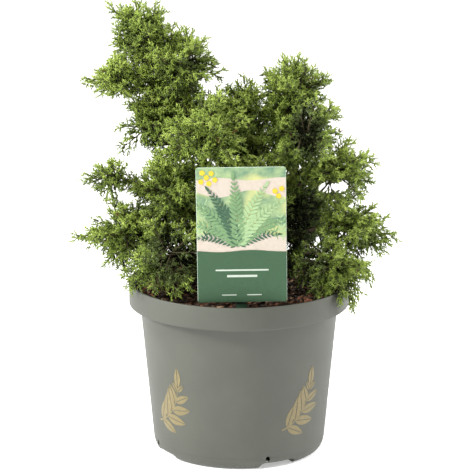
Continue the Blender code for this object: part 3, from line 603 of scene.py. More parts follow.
CHIP_BOX = np.array([(x, y, z) for x in (-1, 1) for y in (-1, 1) for z in (-1, 1)], float)
BOX_SIDES = ((0, 1, 3, 2), (4, 6, 7, 5), (0, 4, 5, 1), (2, 3, 7, 6), (0, 2, 6, 4), (1, 5, 7, 3))
BOX_FACES = np.array([half for a, b, c, d in BOX_SIDES for half in ((a, b, c), (a, c, d))])


def soil_height(x, y):
    """The soil's height at a place, with its lumps."""
    edge = min(1.0, max(0.0, (math.hypot(x, y) - SOIL_EDGE_START) / SOIL_EDGE_WIDTH))
    lumps = noise.fractal(Vector((x, y, LUMP_LEVEL)) * LUMP_SCALE, *LUMP_NOISE)
    return SOIL_TOP - SOIL_EDGE_DROP * edge + SOIL_LUMPS * lumps


def make_soil_mesh():
    """A plug that fills the pot, with a lumpy top."""
    top = [(SOIL_RADIUS * share, SOIL_TOP) for share in np.linspace(0, 1, SOIL_RINGS)]
    inset = POT_WALL + SOIL_GAP
    wall = [(SOIL_RADIUS, SHELF + 2 * POT_WALL), (body_radius(SHELF) - inset, SHELF + POT_WALL)]
    foot = [(body_radius(SOIL_BOTTOM) - inset, SOIL_BOTTOM), (0.0, SOIL_BOTTOM)]
    bm = turned(top + wall + foot, SOIL_STEPS)
    for vert in bm.verts:
        if vert.co.z > SOIL_TOP - SAME_PLACE:
            vert.co.z = soil_height(vert.co.x, vert.co.y)
    return mesh_from("soil_body", bm)


def chips(rng):
    """Corners and tones of flat chips of bark on the soil."""
    radius = (SOIL_RADIUS - CHIP_MARGIN) * np.sqrt(rng.uniform(*CHIP_SPREAD, CHIP_COUNT))
    around = rng.uniform(0, math.tau, CHIP_COUNT)
    x, y = radius * np.cos(around), radius * np.sin(around)
    size = rng.uniform(*CHIP_SIZES, (CHIP_COUNT, 3))
    corners = CHIP_BOX * size[:, None] * rng.uniform(*CHIP_SHAPE, (CHIP_COUNT, 8, 3))
    for axis, most in enumerate(CHIP_TILTS):
        turn = rng.uniform(-most, most, CHIP_COUNT)[:, None]
        one, two = (axis + 1) % 3, (axis + 2) % 3
        first, second = corners[..., one].copy(), corners[..., two].copy()
        corners[..., one] = first * np.cos(turn) - second * np.sin(turn)
        corners[..., two] = first * np.sin(turn) + second * np.cos(turn)
    height = np.array([soil_height(a, b) for a, b in zip(x, y)]) + rng.uniform(0, CHIP_LIFT, CHIP_COUNT)
    corners += np.column_stack((x, y, height))[:, None]
    return corners, rng.choice(len(CHIP_TONES), CHIP_COUNT, p=CHIP_SHARES), BOX_FACES


PEAT = mottled_material("peat", (0.010, 0.006, 0.004), (0.050, 0.028, 0.016), 700, 3.0, 1400, 0.0006, 0.9)
finish_piece("soil_body", make_soil_mesh(), [PEAT], ["soil"])
chip_mesh = mesh_of_copies("bark_chips", [chips(np.random.default_rng(CHIP_SEED))])
chip_materials = [plain_material("chip_" + tone, colour, 0.8, 0.3) for tone, colour in CHIP_TONES.items()]
finish_piece("bark_chips", chip_mesh, chip_materials, (), 0)
print("chips:", len(chip_mesh.polygons), "triangles")

# %% [markdown]
# ## Plant label
# The label is a printed card of thin plastic on a stick, slightly turned. The card is a plate with
# rounded corners and softened edges. Its print has a picture above and a green panel below: here the
# picture is a clump of fern, small flowers and two pale paths in a soft garden, and the panel has a waved
# edge and pale bars. Each layer of print lies a fortieth of a millimetre in front of the one below.

# %% Card and stick
CARD_CENTRE = np.array((0.0020, -0.0800, 0.2082))
CARD_SIZE = (0.0745, 0.0009, 0.1150)
CARD_CORNER = 0.0022
CARD_EDGE = 0.0002
CARD_LEAN = math.radians(0.8)
PRINT_MARGIN = 0.0003
PANEL_TOP = -0.0137
STICK_WIDTH = 0.0090
STICK_THICKNESS = 0.0018
STICK_TOP = 0.2000
STICK_BOTTOM = 0.1010
STICK_POINT = 0.0120
STICK_EDGE = 0.0003
GAP = 0.0003
CARD_PLACE = Matrix.Translation(CARD_CENTRE) @ Matrix.Rotation(-CARD_LEAN, 4, "Y")


def rounded_plate(width, thickness, height, corner, edge):
    """A plate in the XZ plane with rounded corners and softened edges."""
    bm = bmesh.new()
    bmesh.ops.create_cube(bm, size=1.0)
    bmesh.ops.scale(bm, vec=(width, thickness, height), verts=bm.verts)
    through = [e for e in bm.edges if abs(e.verts[0].co.y - e.verts[1].co.y) > thickness / 2]
    bmesh.ops.bevel(bm, geom=through, offset=corner, segments=6, **CORNER_STYLE)
    outline = [e for e in bm.edges if abs(e.verts[0].co.y - e.verts[1].co.y) < SAME_PLACE]
    bmesh.ops.bevel(bm, geom=outline, offset=edge, segments=2, **CORNER_STYLE)
    return bm


def stick_body():
    """A flat stick with a point in the soil and softened edges."""
    bm = bmesh.new()
    half = STICK_WIDTH / 2
    outline = [(half, STICK_TOP), (-half, STICK_TOP), (-half, STICK_BOTTOM + STICK_POINT)]
    outline += [(0.0, STICK_BOTTOM), (half, STICK_BOTTOM + STICK_POINT)]
    bm.faces.new([bm.verts.new((x, 0, z)) for x, z in outline])
    thickened(bm, STICK_THICKNESS)
    front = CARD_CENTRE[1] + CARD_SIZE[1] / 2 + GAP
    bmesh.ops.translate(bm, vec=(CARD_CENTRE[0], front, 0), verts=bm.verts)
    bmesh.ops.bevel(bm, geom=bm.edges[:], offset=STICK_EDGE, segments=2, **CORNER_STYLE)
    return bm


CARD_PLASTIC = mottled_material(
    "card_plastic", (0.36, 0.46, 0.36), (0.44, 0.54, 0.43), 60, 2.0, 1500, 0.00001, 0.32
)
STICK_PLASTIC = mottled_material(
    "stick_plastic", (0.010, 0.030, 0.015), (0.016, 0.042, 0.022), 80, 2.0, 1800, 0.00004, 0.45
)
card = rounded_plate(*CARD_SIZE, CARD_CORNER, CARD_EDGE)
bmesh.ops.transform(card, matrix=CARD_PLACE, verts=card.verts)
finish_piece("card_plate", mesh_from("card_plate", card), [CARD_PLASTIC], ["label_card"])
stick_mesh = mesh_from("stick_body", stick_body())
finish_piece("stick_body", stick_mesh, [STICK_PLASTIC], ["label_stick"])
print("label: card and stick")

# %% [markdown]
# A blurred garden has no edges, so its colours are a material: two soft noises mix teal, pale green and a
# yellow glow over the picture. The fronds in front of it are shapes, because they have outlines. A
# frond has its ink, foot, angle, length, bend, pairs of leaves and leaf size, in millimetres and degrees,
# and the fern's fronds share one foot. A bar has its middle, width and height.

# %% Print on the card
FERN_FOOT = (-3, -10)
FERN = (
    ("frond_deep", 38, 34, -40, 10, (6.2, 2.1)),
    ("frond_deep", 146, 34, 42, 10, (6.2, 2.1)),
    ("frond_green", 52, 44, -44, 12, (7.8, 2.6)),
    ("frond_green", 130, 44, 44, 12, (7.8, 2.6)),
    ("frond_light", 64, 50, -34, 13, (8.6, 2.8)),
    ("frond_green", 117, 50, 34, 13, (8.6, 2.8)),
    ("frond_light", 77, 55, -22, 14, (8.8, 2.9)),
    ("frond_deep", 104, 52, 24, 14, (8.6, 2.8)),
    ("frond_green", 90, 58, 6, 14, (9.0, 3.0)),
)
GRASS = (
    ("frond_deep", (-32, -5), 74, 26, -28, 7, (5.2, 1.5)),
    ("frond_light", (-35, -4), 88, 32, -16, 8, (5.6, 1.6)),
    ("frond_green", (30, -4), 104, 28, 26, 7, (5.2, 1.5)),
    ("frond_light", (34.5, -5), 92, 34, 14, 8, (5.6, 1.6)),
)
FLOWERS = (
    (-32, 53), (-28.5, 49), (-33, 45.5), (-24.5, 52.5), (-21.5, 47), (-26.5, 44), (31, 33), (28, 37),
    (33.5, 39),
)
PETALS = 5
PETAL_SIZE = (0.00247, 0.00285)
BARS = ((0, -29.9, 44, 1.3), (0, -35, 25, 1.9), (-11, -51.2, 12, 0.8), (10, -51.2, 12, 0.8))
PICTURE_FOOT = PANEL_TOP - 0.004
FAR_PATH = (0.0350, 0.0475, (0.0030, -0.0012))
NEAR_PATH = (PICTURE_FOOT, 0.0005, (0.0, 0.0012))
PANEL_WAVE = (0.0, 0.0008)
WAVE_COUNT = 1.4
WAVE_START = 0.1
WAVE_STEPS = 40
LAYER = 0.0000237
FROND_STEM = 0.0005
INK_SHADE = 0.8
PRINT_TONES = {
    "frond_light": (0.300, 0.430, 0.220),
    "frond_green": (0.150, 0.262, 0.122),
    "frond_deep": (0.042, 0.098, 0.056),
    "flower_yellow": (0.590, 0.440, 0.030),
    "path_cream": (0.490, 0.425, 0.355),
    "panel_green": (0.038, 0.088, 0.043),
    "bar_pale": (0.460, 0.520, 0.440),
}
GARDEN_GLOW = (0.540, 0.520, 0.200, 1.0)


def printed(name, bm, layer, material):
    """Puts a flat shape on the card's front as a film of print, clipped to the card's margins."""
    for normal in ((1, 0, 0), (-1, 0, 0), (0, 0, 1), (0, 0, -1)):
        geom = bm.verts[:] + bm.edges[:] + bm.faces[:]
        place = Vector(normal) * (CARD_SIZE[0 if normal[0] else 2] / 2 - PRINT_MARGIN)
        bmesh.ops.bisect_plane(bm, geom=geom, plane_co=place, plane_no=normal, clear_outer=True)
    thickened(bm, LAYER * (layer + 1))
    front = -CARD_SIZE[1] / 2 - LAYER * layer
    bmesh.ops.translate(bm, vec=(0, front, 0), verts=bm.verts)
    bmesh.ops.transform(bm, matrix=CARD_PLACE, verts=bm.verts)
    return finish_piece(name, mesh_from(name, bm), [material], (), 0)


def panel(low, high, wave=(0.0, 0.0), middle=0.0, width=CARD_SIZE[0]):
    """A flat panel between two heights, whose lower and upper edges are waves of two heights."""
    bm = bmesh.new()
    for vert in add_grid(bm, WAVE_STEPS if any(wave) else 1):
        across, up = vert.co.x, vert.co.y + 0.5
        swell = wave[round(up)] * math.sin(math.tau * (WAVE_COUNT * across + WAVE_START))
        vert.co = (middle + across * width, 0, low + up * (high - low) + swell)
    return bm


def blurred_garden():
    """Teal, pale green and yellow, melting into each other."""
    material = mottled_material(
        "garden_blur", (0.070, 0.160, 0.110), (0.330, 0.420, 0.200), 48, 3.4, 900, 0.00001, 0.5,
        specular=0.25
    )
    tree = material.node_tree
    base = tree.nodes["Principled BSDF"].inputs["Base Color"]
    place = add_node(tree, "TexCoord").outputs["Object"]
    glow = add_node(tree, "TexNoise", {"Vector": place, "Scale": 40.0, "Detail": 1.0}).outputs["Fac"]
    limits = {"Value": glow, "From Min": 0.50, "From Max": 0.74}
    narrowed = add_node(tree, "MapRange", limits).outputs["Result"]
    tree.links.new(blended(tree, narrowed, base.links[0].from_socket, GARDEN_GLOW), base)
    return material


INKS = {
    name: mottled_material(
        name, tuple(INK_SHADE * c for c in tone), tone, 300, 1.5, 1500, 0.00001, 0.5, specular=0.25
    )
    for name, tone in PRINT_TONES.items()
}
printed("card_picture", panel(PICTURE_FOOT, CARD_SIZE[2] / 2), 1, blurred_garden())
printed("card_far_path", panel(*FAR_PATH), 2, INKS["path_cream"])
printed("card_near_path", panel(*NEAR_PATH), 2, INKS["path_cream"])
fronds = [*GRASS, *((ink, FERN_FOOT, *rest) for ink, *rest in FERN)]
for number, (ink, foot, angle, length, bend, pairs, leaf) in enumerate(fronds):
    frond = bmesh.new()
    foot, length, leaf = map(metres, (foot, length, leaf))
    add_sprig(frond, foot, math.radians(angle), length, math.radians(bend), pairs, leaf, 0.0, FROND_STEM)
    printed(f"card_frond_{number}", frond, 3 + number, INKS[ink])
for number, (x, z) in enumerate(metres(FLOWERS)):
    flower = bmesh.new()
    for petal in range(PETALS):
        add_leaf(flower, Vector((x, -LEAF_STEP * petal, z)), petal * math.tau / PETALS, *PETAL_SIZE)
    printed(f"card_flower_{number}", flower, 3 + len(fronds), INKS["flower_yellow"])
top = 4 + len(fronds)
printed("card_panel", panel(-CARD_SIZE[2] / 2, PANEL_TOP, PANEL_WAVE), top, INKS["panel_green"])
for number, (x, z, width, height) in enumerate(metres(BARS)):
    bar = panel(z - height / 2, z + height / 2, middle=x, width=width)
    printed(f"card_bar_{number}", bar, top + 1, INKS["bar_pale"])
print("print:", len(fronds), "fronds,", len(FLOWERS), "flowers and", len(BARS), "bars")

# %% [markdown]
# ## The plant's own measures
# The limbs and the masses of foliage are named with the same sizes as in the plant's source, so that
# twigs and needles grow on from the real tips and keep to the same reach. A limb has its parent, the
# share of the parent's length where it leaves, its tip, its radius at root and tip, and its arch. A mass
# has its middle, its half sizes, and how far it droops. Each bough bears the mass of its own name, and
# the leaders bear the two tops. Far tips are sprays that reach past a mass. All are in millimetres.

# %% The plant's own measures
TRUNK_RADIUS = 0.0062
TRUNK_FLARE = 0.0115
TRUNK_STEPS = 6
FORK = np.array((-0.0030, 0.0040, 0.1760))
LEFT, RIGHT = "leader_left", "leader_right"
LEADER_TABLE = {
    LEFT: ("trunk", 0.93, (-74.5, 8, 352), 4.6, 1.7, 10),
    RIGHT: ("trunk", 0.88, (44, 6, 304), 4.2, 1.7, -6),
}
BOUGH_TABLE = {
    "left_shoulder": (LEFT, 0.80, (-60, -3, 340), 2.0, 1.3, 2),
    "left_arm": (LEFT, 0.72, (-90, 0, 324), 2.1, 1.3, -3),
    "left_bend": (LEFT, 0.42, (-70, 0, 276), 2.0, 1.3, -3),
    "left_twig": (LEFT, 0.20, (-89, -16, 242), 2.3, 1.3, -4),
    "left_side": (LEFT, 0.12, (-56, -18, 222), 2.6, 1.4, -3),
    "left_skirt": (LEFT, 0.05, (-85, -12, 193), 2.8, 1.5, -4),
    "front_left": ("trunk", 0.62, (-44, -31, 181), 2.4, 1.4, -2),
    "front_high": (LEFT, 0.46, (-26, -33, 283), 2.4, 1.4, -3),
    "middle": (RIGHT, 0.66, (8, 4, 296), 2.0, 1.3, -2),
    "right_front": (RIGHT, 0.72, (48, -6, 283), 2.0, 1.3, -2),
    "right_shoulder": (RIGHT, 0.40, (72, -11, 248), 2.4, 1.4, -3),
    "right_arm": (RIGHT, 0.14, (82, -8, 201), 2.7, 1.4, -5),
    "right_skirt": ("trunk", 0.84, (64, -22, 179), 2.6, 1.4, -3),
    "back_left_low": (LEFT, 0.03, (-48, 44, 200), 2.7, 1.4, -3),
    "back_low": ("trunk", 0.80, (2, 56, 190), 2.7, 1.4, -3),
    "back_right_low": (RIGHT, 0.06, (56, 44, 204), 2.6, 1.4, -3),
    "back_left_high": (LEFT, 0.50, (-60, 33, 290), 2.1, 1.3, -3),
    "back_middle": (RIGHT, 0.30, (10, 33, 248), 2.2, 1.3, -3),
    "inner_front": (LEFT, 0.14, (-1, -14, 206), 2.4, 1.4, -2),
    "inner_right": (RIGHT, 0.20, (33, 8, 206), 2.4, 1.4, -2),
    "back_right_high": (RIGHT, 0.50, (47, 33, 269), 2.1, 1.3, -3),
}
MASS_TABLE = {
    "left_top": ((-81, 5, 362), (35, 35, 33), 0.0),
    "left_shoulder": ((-49, -6, 339), (38, 37, 38), 0.1),
    "left_arm": ((-99, 0, 328), (33, 33, 26), 0.2),
    "left_bend": ((-77, -3, 287), (32, 33, 33), 0.4),
    "left_twig": ((-109, -20, 243), (26, 23, 17), 0.3),
    "left_side": ((-60, -17, 236), (37, 42, 36), 0.2),
    "left_skirt": ((-97, -13, 194), (43, 43, 33), 0.4),
    "front_left": ((-61, -44, 184), (43, 38, 33), 0.3),
    "front_high": ((-30, -37, 288), (42, 38, 40), 0.3),
    "middle": ((0, 2, 301), (35, 36, 27), 0.1),
    "right_top": ((48, 3, 318), (36, 36, 31), 0.0),
    "right_front": ((56, -19, 279), (44, 38, 37), 0.3),
    "right_shoulder": ((84, -12, 246), (38, 40, 32), 0.3),
    "right_arm": ((95, -10, 198), (45, 40, 35), 0.4),
    "right_skirt": ((81, -34, 169), (40, 38, 34), 0.8),
    "inner_right": ((45, 0, 211), (36, 38, 41), 0.2),
    "inner_front": ((4, -28, 229), (40, 36, 40), 0.2),
    "back_left_low": ((-58, 52, 206), (44, 44, 40), 0.3),
    "back_low": ((6, 68, 196), (42, 40, 40), 0.4),
    "back_right_low": ((66, 52, 206), (44, 44, 40), 0.3),
    "back_left_high": ((-58, 42, 298), (40, 37, 42), 0.1),
    "back_middle": ((0, 48, 258), (40, 36, 40), 0.1),
    "back_right_high": ((52, 42, 278), (40, 37, 38), 0.1),
}
FAR_TIPS = {
    "left_top": ((-110, 0, 389), (-88, 5, 391), (-69, 0, 387)),
    "left_shoulder": ((-28, -10, 360.5), (-14, -10, 330), (-43.5, -6, 369.5)),
    "left_arm": ((-132, 0, 324.5), (-121, 2, 313)),
    "left_bend": ((-102.5, -5, 285), (-101, -5, 264), (-72, -12, 319)),
    "left_twig": ((-132, -20, 244), (-113, -25, 228), (-112, -20, 257)),
    "left_skirt": ((-143, -15, 190), (-125, -15, 206), (-113, -24, 168)),
    "front_left": ((-96, -46, 160), (-41, -66, 203)),
    "front_high": ((-68, -40, 263), (-4, -70, 269)),
    "middle": ((5, 0, 325),),
    "right_top": ((50.5, 0, 345), (77, 0, 325.5), (21, -4, 318)),
    "right_front": ((83.5, -15, 303), (20, -30, 284)),
    "right_shoulder": ((118, -10, 256), (114, -10, 236)),
    "right_arm": ((136, -10, 188.5), (118, -12, 217), (123.5, -15, 175)),
    "right_skirt": ((100, -45, 135), (115, -30, 157), (78, -60, 158)),
}

LIMB_TABLE = LEADER_TABLE | {"bough_" + name: row for name, row in BOUGH_TABLE.items()}
LIMBS = {name: (*row[:2], *map(metres, row[2:])) for name, row in LIMB_TABLE.items()}
MASSES = {name: (metres(row[0]), metres(row[1]), row[2]) for name, row in MASS_TABLE.items()}
LIMB_OF = {name: "bough_" + name for name in MASSES} | {"left_top": LEFT, "right_top": RIGHT}
MASS_ON = {limb: name for name, limb in LIMB_OF.items()}
print("plant:", len(LIMBS), "limbs and", len(MASSES), "masses of foliage")

# %% [markdown]
# The crown's outline isn't made of whole balls. Side tips are ends of further twigs that fill the
# outline where two masses meet, in millimetres. A trim is a flat limit, as a normal and an offset, past
# which a mass has only the sprays of its far tips, so that it has a flat side there.

# %% Side tips and trims
SIDE_TIPS = {
    "left_top": ((-108, 2, 354), (-70, -4, 378), (-99, -4, 383), (-80, -8, 384)),
    "left_bend": ((-92, -4, 307), (-86, -6, 312)),
    "left_shoulder": ((-58, -6, 373), (-20, -12, 338), (-66, -10, 364)),
    "front_high": ((-30, -20, 322.5), (-17, -15, 321), (-22, -20, 312), (5, -48, 276), (-2, -52, 280)),
    "middle": ((-8, -4, 318.5), (14, -6, 319)),
    "right_top": ((38, 0, 343), (68, -4, 306), (22, -8, 306)),
    "right_front": (
        (21, -20, 283), (24, -24, 263), (80, -12, 304), (87, -14, 281), (60, -16, 247), (69, -16, 257),
    ),
    "right_shoulder": (
        (90, -12, 270), (112, -10, 261), (113, -10, 243), (69, -4, 254), (76, -20, 260), (73, 6, 249),
    ),
    "right_arm": ((128, -11, 203), (129, -10, 183), (116, -14, 181), (104, -14, 168)),
    "right_skirt": ((104, -36, 145), (101, -38, 162), (62, -60, 152), (88, -52, 146), (111, -24, 169)),
    "left_skirt": (
        (-98, -16, 218), (-131, -12, 186), (-124, -16, 196), (-116.5, -18, 181.5), (-108, -20, 170),
        (-99, -22, 161),
    ),
    "front_left": (
        (-101, -36, 165), (-95, -48, 152), (-54, -66, 150.5), (-42, -70, 158), (-72, -56, 152),
    ),
    "back_left_low": ((-50, 70, 156), (-78, 52, 157), (-90, 30, 160)),
    "back_low": ((-15, 84, 155), (22, 84, 155), (3, 62, 154)),
    "back_right_low": (
        (50, 70, 155), (76, 54, 156), (88, 30, 158), (58, 46, 244), (56, 40, 161), (62, 68, 159),
    ),
    "back_middle": ((19, 30, 250), (10, 36, 292), (26, 36, 252), (14, 30, 257)),
    "back_right_high": ((24, 30, 296), (27, 30, 280), (22, 40, 288)),
    "inner_right": (
        (58, 8, 158), (70, -16, 165), (46, -26, 160), (64, 4, 249), (52, 6, 252), (54, 14, 170),
    ),
    "inner_front": ((-30, -20, 160), (-46, -8, 163), (-8, -48, 266), (8, -44, 269), (21, -38, 264)),
}
TRIMS = {
    "left_top": (((0.0, 0.0, 1.0), 0.3875), ((-1.0, 0.0, 0.0), 0.1080)),
    "left_shoulder": (((0.78, 0.0, 0.626), 0.2000),),
    "left_arm": (((-0.724, 0.0, 0.690), 0.3160), ((-0.25, 0.0, -0.968), -0.2755)),
    "left_bend": (((-0.966, 0.0, -0.258), 0.0090),),
    "middle": (((0.0, 0.0, 1.0), 0.3150),),
    "right_top": (((0.609, 0.0, 0.793), 0.3045),),
}
print("side tips:", sum(map(len, SIDE_TIPS.values())), "and trims:", sum(map(len, TRIMS.values())))

# %% [markdown]
# The crown also has dark hollows, where one looks past the outer sprays to sprays inside that are painted
# dark, as painted shade. A hollow is a soft ball, given by its middle, half sizes and strength: towards its
# middle sprays get fewer and are painted darker. At its front they get fewer still, but not the darkest
# painted shade, which would show from the side.
# Where the sky shows through from the front, a window keeps an oval clear of twigs. It's given by its
# middle and half sizes, as seen along the camera's slope. Both tables are in millimetres.

# %% Hollows
HOLLOWS = (
    ((57, -40, 195.5), (23, 75, 54), 1.0),
    ((-55, -44, 184), (26, 65, 25), 1.3),
    ((20, -30, 288.5), (12, 40, 14), 1.0),
    ((57, -34, 288.6), (18, 64, 27), 1.45),
    ((-38.5, -46, 344.8), (12, 40, 12), 1.0),
    ((-36, -50, 317), (13, 40, 12), 1.0),
    ((-86, -50, 223), (18, 40, 8), 1.0),
)
HOLLOW_KEEP = 0.50
HOLLOW_FRONT = -0.052
HOLLOW_FRONT_KEEP = 0.15
HOLLOW_SHADE = 0.72
WINDOWS = (
    ((76.5, 231.0), (7.2, 5.0)),
    ((89.5, 232.5), (6.2, 4.0)),
    ((90.5, 189.5), (2.6, 2.4)),
    ((83.5, 140.5), (2.6, 4.0)),
)
WINDOW_SLOPE = math.tan(VIEW_PITCH)


def in_hollow(points):
    """How deep points are in a hollow: its strength at its middle, 0 outside."""
    deepest = np.zeros(len(points))
    for middle, half, strength in HOLLOWS:
        depth = 1 - np.linalg.norm((points - metres(middle)) / metres(half), axis=1)
        deepest = np.maximum(deepest, strength * np.maximum(0.0, depth) ** 0.5)
    return deepest


def in_window(points):
    """True for each point in one of the narrow gaps that the sky shows through from the front."""
    level = np.column_stack((points[:, 0], points[:, 2] + WINDOW_SLOPE * points[:, 1]))
    ovals = metres(WINDOWS)
    return np.any([np.linalg.norm((level - middle) / half, axis=1) < 1 for middle, half in ovals], axis=0)


print("hollows:", len(HOLLOWS), "and windows:", len(WINDOWS))

# %% [markdown]
# ## Room for each mass
# Where two masses meet, a flat wall halfway between them keeps their twigs apart. The wall lies nearer to
# the smaller mass. A second test keeps twigs out of the pot, the soil and the label.

# %% Room for each mass
STICK_ROOM = 0.006


def cell_walls(name):
    """The flat walls between a mass's own space and its neighbours', as normals and offsets."""
    middle, size = MASSES[name][0], MASSES[name][1].mean()
    walls = []
    for other, (place, half, _) in MASSES.items():
        if other == name:
            continue
        step = place - middle
        length = np.linalg.norm(step)
        reach = (length**2 + size**2 - half.mean() ** 2) / (2 * length)
        walls.append((step / length, step @ middle / length + reach))
    return walls


def room_in(walls, points):
    """Each point's least distance to the walls of a space, inside positive."""
    return np.min([offset - points @ normal for normal, offset in walls], axis=0, initial=math.inf)


def clear_of_pot(points, margin):
    """True for each point that is outside the pot, the soil, the label and its stick."""
    radius = np.hypot(points[:, 0], points[:, 1])
    low = points[:, 2] < POT_HEIGHT + margin
    inside = radius < INNER_RIM_RADIUS - margin
    outside = radius > POT_RIM_RADIUS + margin
    in_soil = inside & (points[:, 2] < SOIL_TOP + margin)
    in_pot = low & (in_soil | ~(inside | outside))
    beside = np.abs(points - CARD_CENTRE)
    half = np.array((CARD_SIZE[0] / 2, STICK_THICKNESS * 2, CARD_SIZE[2] / 2)) + margin
    at_card = (beside < half).all(axis=1)
    near_stick = (beside[:, :2] < (STICK_WIDTH, STICK_ROOM)).all(axis=1) & (points[:, 2] < CARD_CENTRE[2])
    return ~(in_pot | at_card | near_stick)


WALLS = {name: cell_walls(name) for name in MASSES}
print("walls:", sum(map(len, WALLS.values())))

# %% [markdown]
# ## Where the limbs run
# The trunk rises from its flare to the fork, and each limb is a shallow arch from a point on its parent
# to its own tip. The rule is the source's, so that the bark goes exactly round the solid limbs.

# %% Where the limbs run
TIP_ROOM = 0.0040
TIP_STEP = 0.05
TRUNK_TAPER = 0.15
UP = np.array((0.0, 0.0, 1.0))
PATH_STEPS = {"leader": 9, "bough": 6}


def trunk_line(shares):
    """Points and radii at shares of the trunk's height: first upright, then leaning to the fork."""
    foot = (SOIL_TOP + GAP) * UP
    leans = np.maximum(0.0, shares - 1 / TRUNK_STEPS) / (1 - 1 / TRUNK_STEPS)
    points = foot + (FORK - foot) * np.column_stack((leans, leans, shares))
    flares = (TRUNK_FLARE - TRUNK_RADIUS) * (1 - np.maximum(shares, 0)) ** 4
    return points, TRUNK_RADIUS * (1 - TRUNK_TAPER * shares) + flares


def along(path, share):
    """The point at a share of a path."""
    place = share * (len(path) - 1)
    low = min(int(place), len(path) - 2)
    return path[low] + (place - low) * (path[low + 1] - path[low])


def limb_tip(limb):
    """A limb's tip, moved towards the middle of its mass until it has room."""
    tip, mass = LIMBS[limb][2].copy(), MASS_ON[limb]
    while room_in(WALLS[mass], tip[None])[0] < TIP_ROOM:
        tip += TIP_STEP * (MASSES[mass][0] - tip)
    return tip


def limb_line(limb, steps):
    """Points along a limb's arch."""
    parent, share, *_, arch = LIMBS[limb]
    root, shares = along(PATHS[parent], share), np.linspace(0, 1, steps)[:, None]
    return root + shares * (TIPS[limb] - root) + 4 * arch * shares * (1 - shares) * UP


TIPS = {limb: limb_tip(limb) for limb in LIMBS}
PATHS = {"trunk": trunk_line(np.arange(TRUNK_STEPS + 1) / TRUNK_STEPS)[0]}
for limb in LIMBS:
    PATHS[limb] = limb_line(limb, PATH_STEPS[limb.split("_")[0]])
print("limbs:", len(PATHS), "paths")

# %% [markdown]
# ## Main twigs
# Every mass hangs on one short stem at its limb's tip. Twigs leave that stem in directions spread evenly
# over a sphere, a spiral of points that never line up, and each reaches the mass's outline. The random
# draws are seeded and come in the source's order, so the same twigs grow here.

# %% Main twigs
SEED = 19
TWIGS = 14
LOOSE_TWIGS = {"left_twig": 8}
STEM_PAST_MIDDLE = 0.25
TWIG_ROOTS = (0.30, 0.95)
TIP_ROOTS = (0.45, 0.20)
TWIG_STRETCH = (0.84, 1.0)
TWIG_SWAY = 0.12
DIRECTION_SWAY = 0.16
LEAST_REACH = 0.60
NEIGHBOUR_REACH = 1.35
TIP_CROWDING = 0.88
UPSWEEP = 0.35
DROOP = 1.1
TIP_SAG = 0.4
SPRAY_LENGTH = 0.0300
LONGEST_SHARE = 0.75
SHARPEST_BEND = 0.65
MASS_MARGIN = 0.0004
GOLDEN_ANGLE = math.pi * (3 - math.sqrt(5))


def stem_line(name):
    """The ends of a mass's stem: its limb's tip and a place a little past its own middle."""
    tip, middle = TIPS[LIMB_OF[name]], MASSES[name][0]
    return tip, middle + STEM_PAST_MIDDLE * (middle - tip)


def even_directions(count, rng):
    """Directions spread evenly over a sphere, with some sway."""
    index = np.arange(count) + 0.5
    height = 1 - 2 * index / count
    turn = index * GOLDEN_ANGLE + rng.uniform(0, math.tau)
    ring = np.sqrt(1 - height**2)
    spread = np.column_stack((ring * np.cos(turn), ring * np.sin(turn), height))
    spread += rng.normal(0, DIRECTION_SWAY, spread.shape)
    return unit(spread)


def reach_towards(name, direction):
    """How far a mass reaches in a direction: to its own outline, or to a wall that is near it."""
    middle, half, _ = MASSES[name]
    own = 1 / np.linalg.norm(direction / half)
    ahead = [(offset - MASS_MARGIN - normal @ middle, normal @ direction) for normal, offset in WALLS[name]]
    wall = min((room / towards for room, towards in ahead if towards > SAME_PLACE), default=math.inf)
    return wall if wall < own * NEIGHBOUR_REACH else own


def twigs_to(name, table, roots, sag):
    """Twigs from a mass's stem to given ends: each its root, its tip, the direction it ends in, and True."""
    stem, stem_end = STEMS[name]
    twigs = []
    for index, far in enumerate(metres(table.get(name, ()))):
        root = stem + min(1.0, roots[0] + roots[1] * index) * (stem_end - stem)
        twigs.append((root, far, unit(unit(far - root) + sag), True))
    return twigs


def sag_of(name):
    """The way that a mass's twigs bend: up, or down where it droops."""
    return (UPSWEEP - DROOP * MASSES[name][2]) * UP


def main_twigs(name):
    """The mass's twigs, in rows as from twigs_to. The last value is True for those to far tips."""
    (middle, half, _), (stem, stem_end), sag = MASSES[name], STEMS[name], sag_of(name)
    rng = np.random.default_rng(SEED + list(MASSES).index(name))
    twigs = twigs_to(name, FAR_TIPS, TIP_ROOTS, TIP_SAG * sag)
    taken = [unit(far - middle) for _, far, _, _ in twigs]
    for direction in even_directions(LOOSE_TWIGS.get(name, TWIGS), rng):
        share, stretch = rng.uniform(*TWIG_ROOTS), rng.uniform(*TWIG_STRETCH)
        sway = rng.normal(0, TWIG_SWAY, 3)
        reach = stretch * reach_towards(name, direction)
        if reach < LEAST_REACH * half.mean() or any(direction @ other > TIP_CROWDING for other in taken):
            continue
        root, far = stem + share * (stem_end - stem), middle + direction * reach
        lean = unit(direction + sway + sag)
        length = min(SPRAY_LENGTH, LONGEST_SHARE * np.linalg.norm(far - root))
        if lean @ unit(far - lean * length - root) < SHARPEST_BEND:
            lean = unit(far - root)
        twigs.append((root, far, lean, False))
    return twigs


STEMS = {name: stem_line(name) for name in MASSES}
print("main twigs:", sum(len(main_twigs(name)) for name in MASSES))

# %% [markdown]
# ## Bark
# Young cedar bark is red brown and splits lengthwise into narrow strips. A limb is a circle that is
# extruded from ring to ring along its path. Every corner remembers where it would lie if the limb were
# straight, and both the relief of the mesh and the material read that, so the strips follow each bend.

# %% Tubes along paths
FLOW = "bark_flow"
STRIP_SCALES = Vector((900, 900, 120))
KNOB_SCALES = Vector((250, 250, 260))
KNOB_SHIFT = Vector((0, 0, 7))
STRIP_SHARE = 0.65
KNOB_SHARE = 0.6
SMOOTH_CORE = 0.004


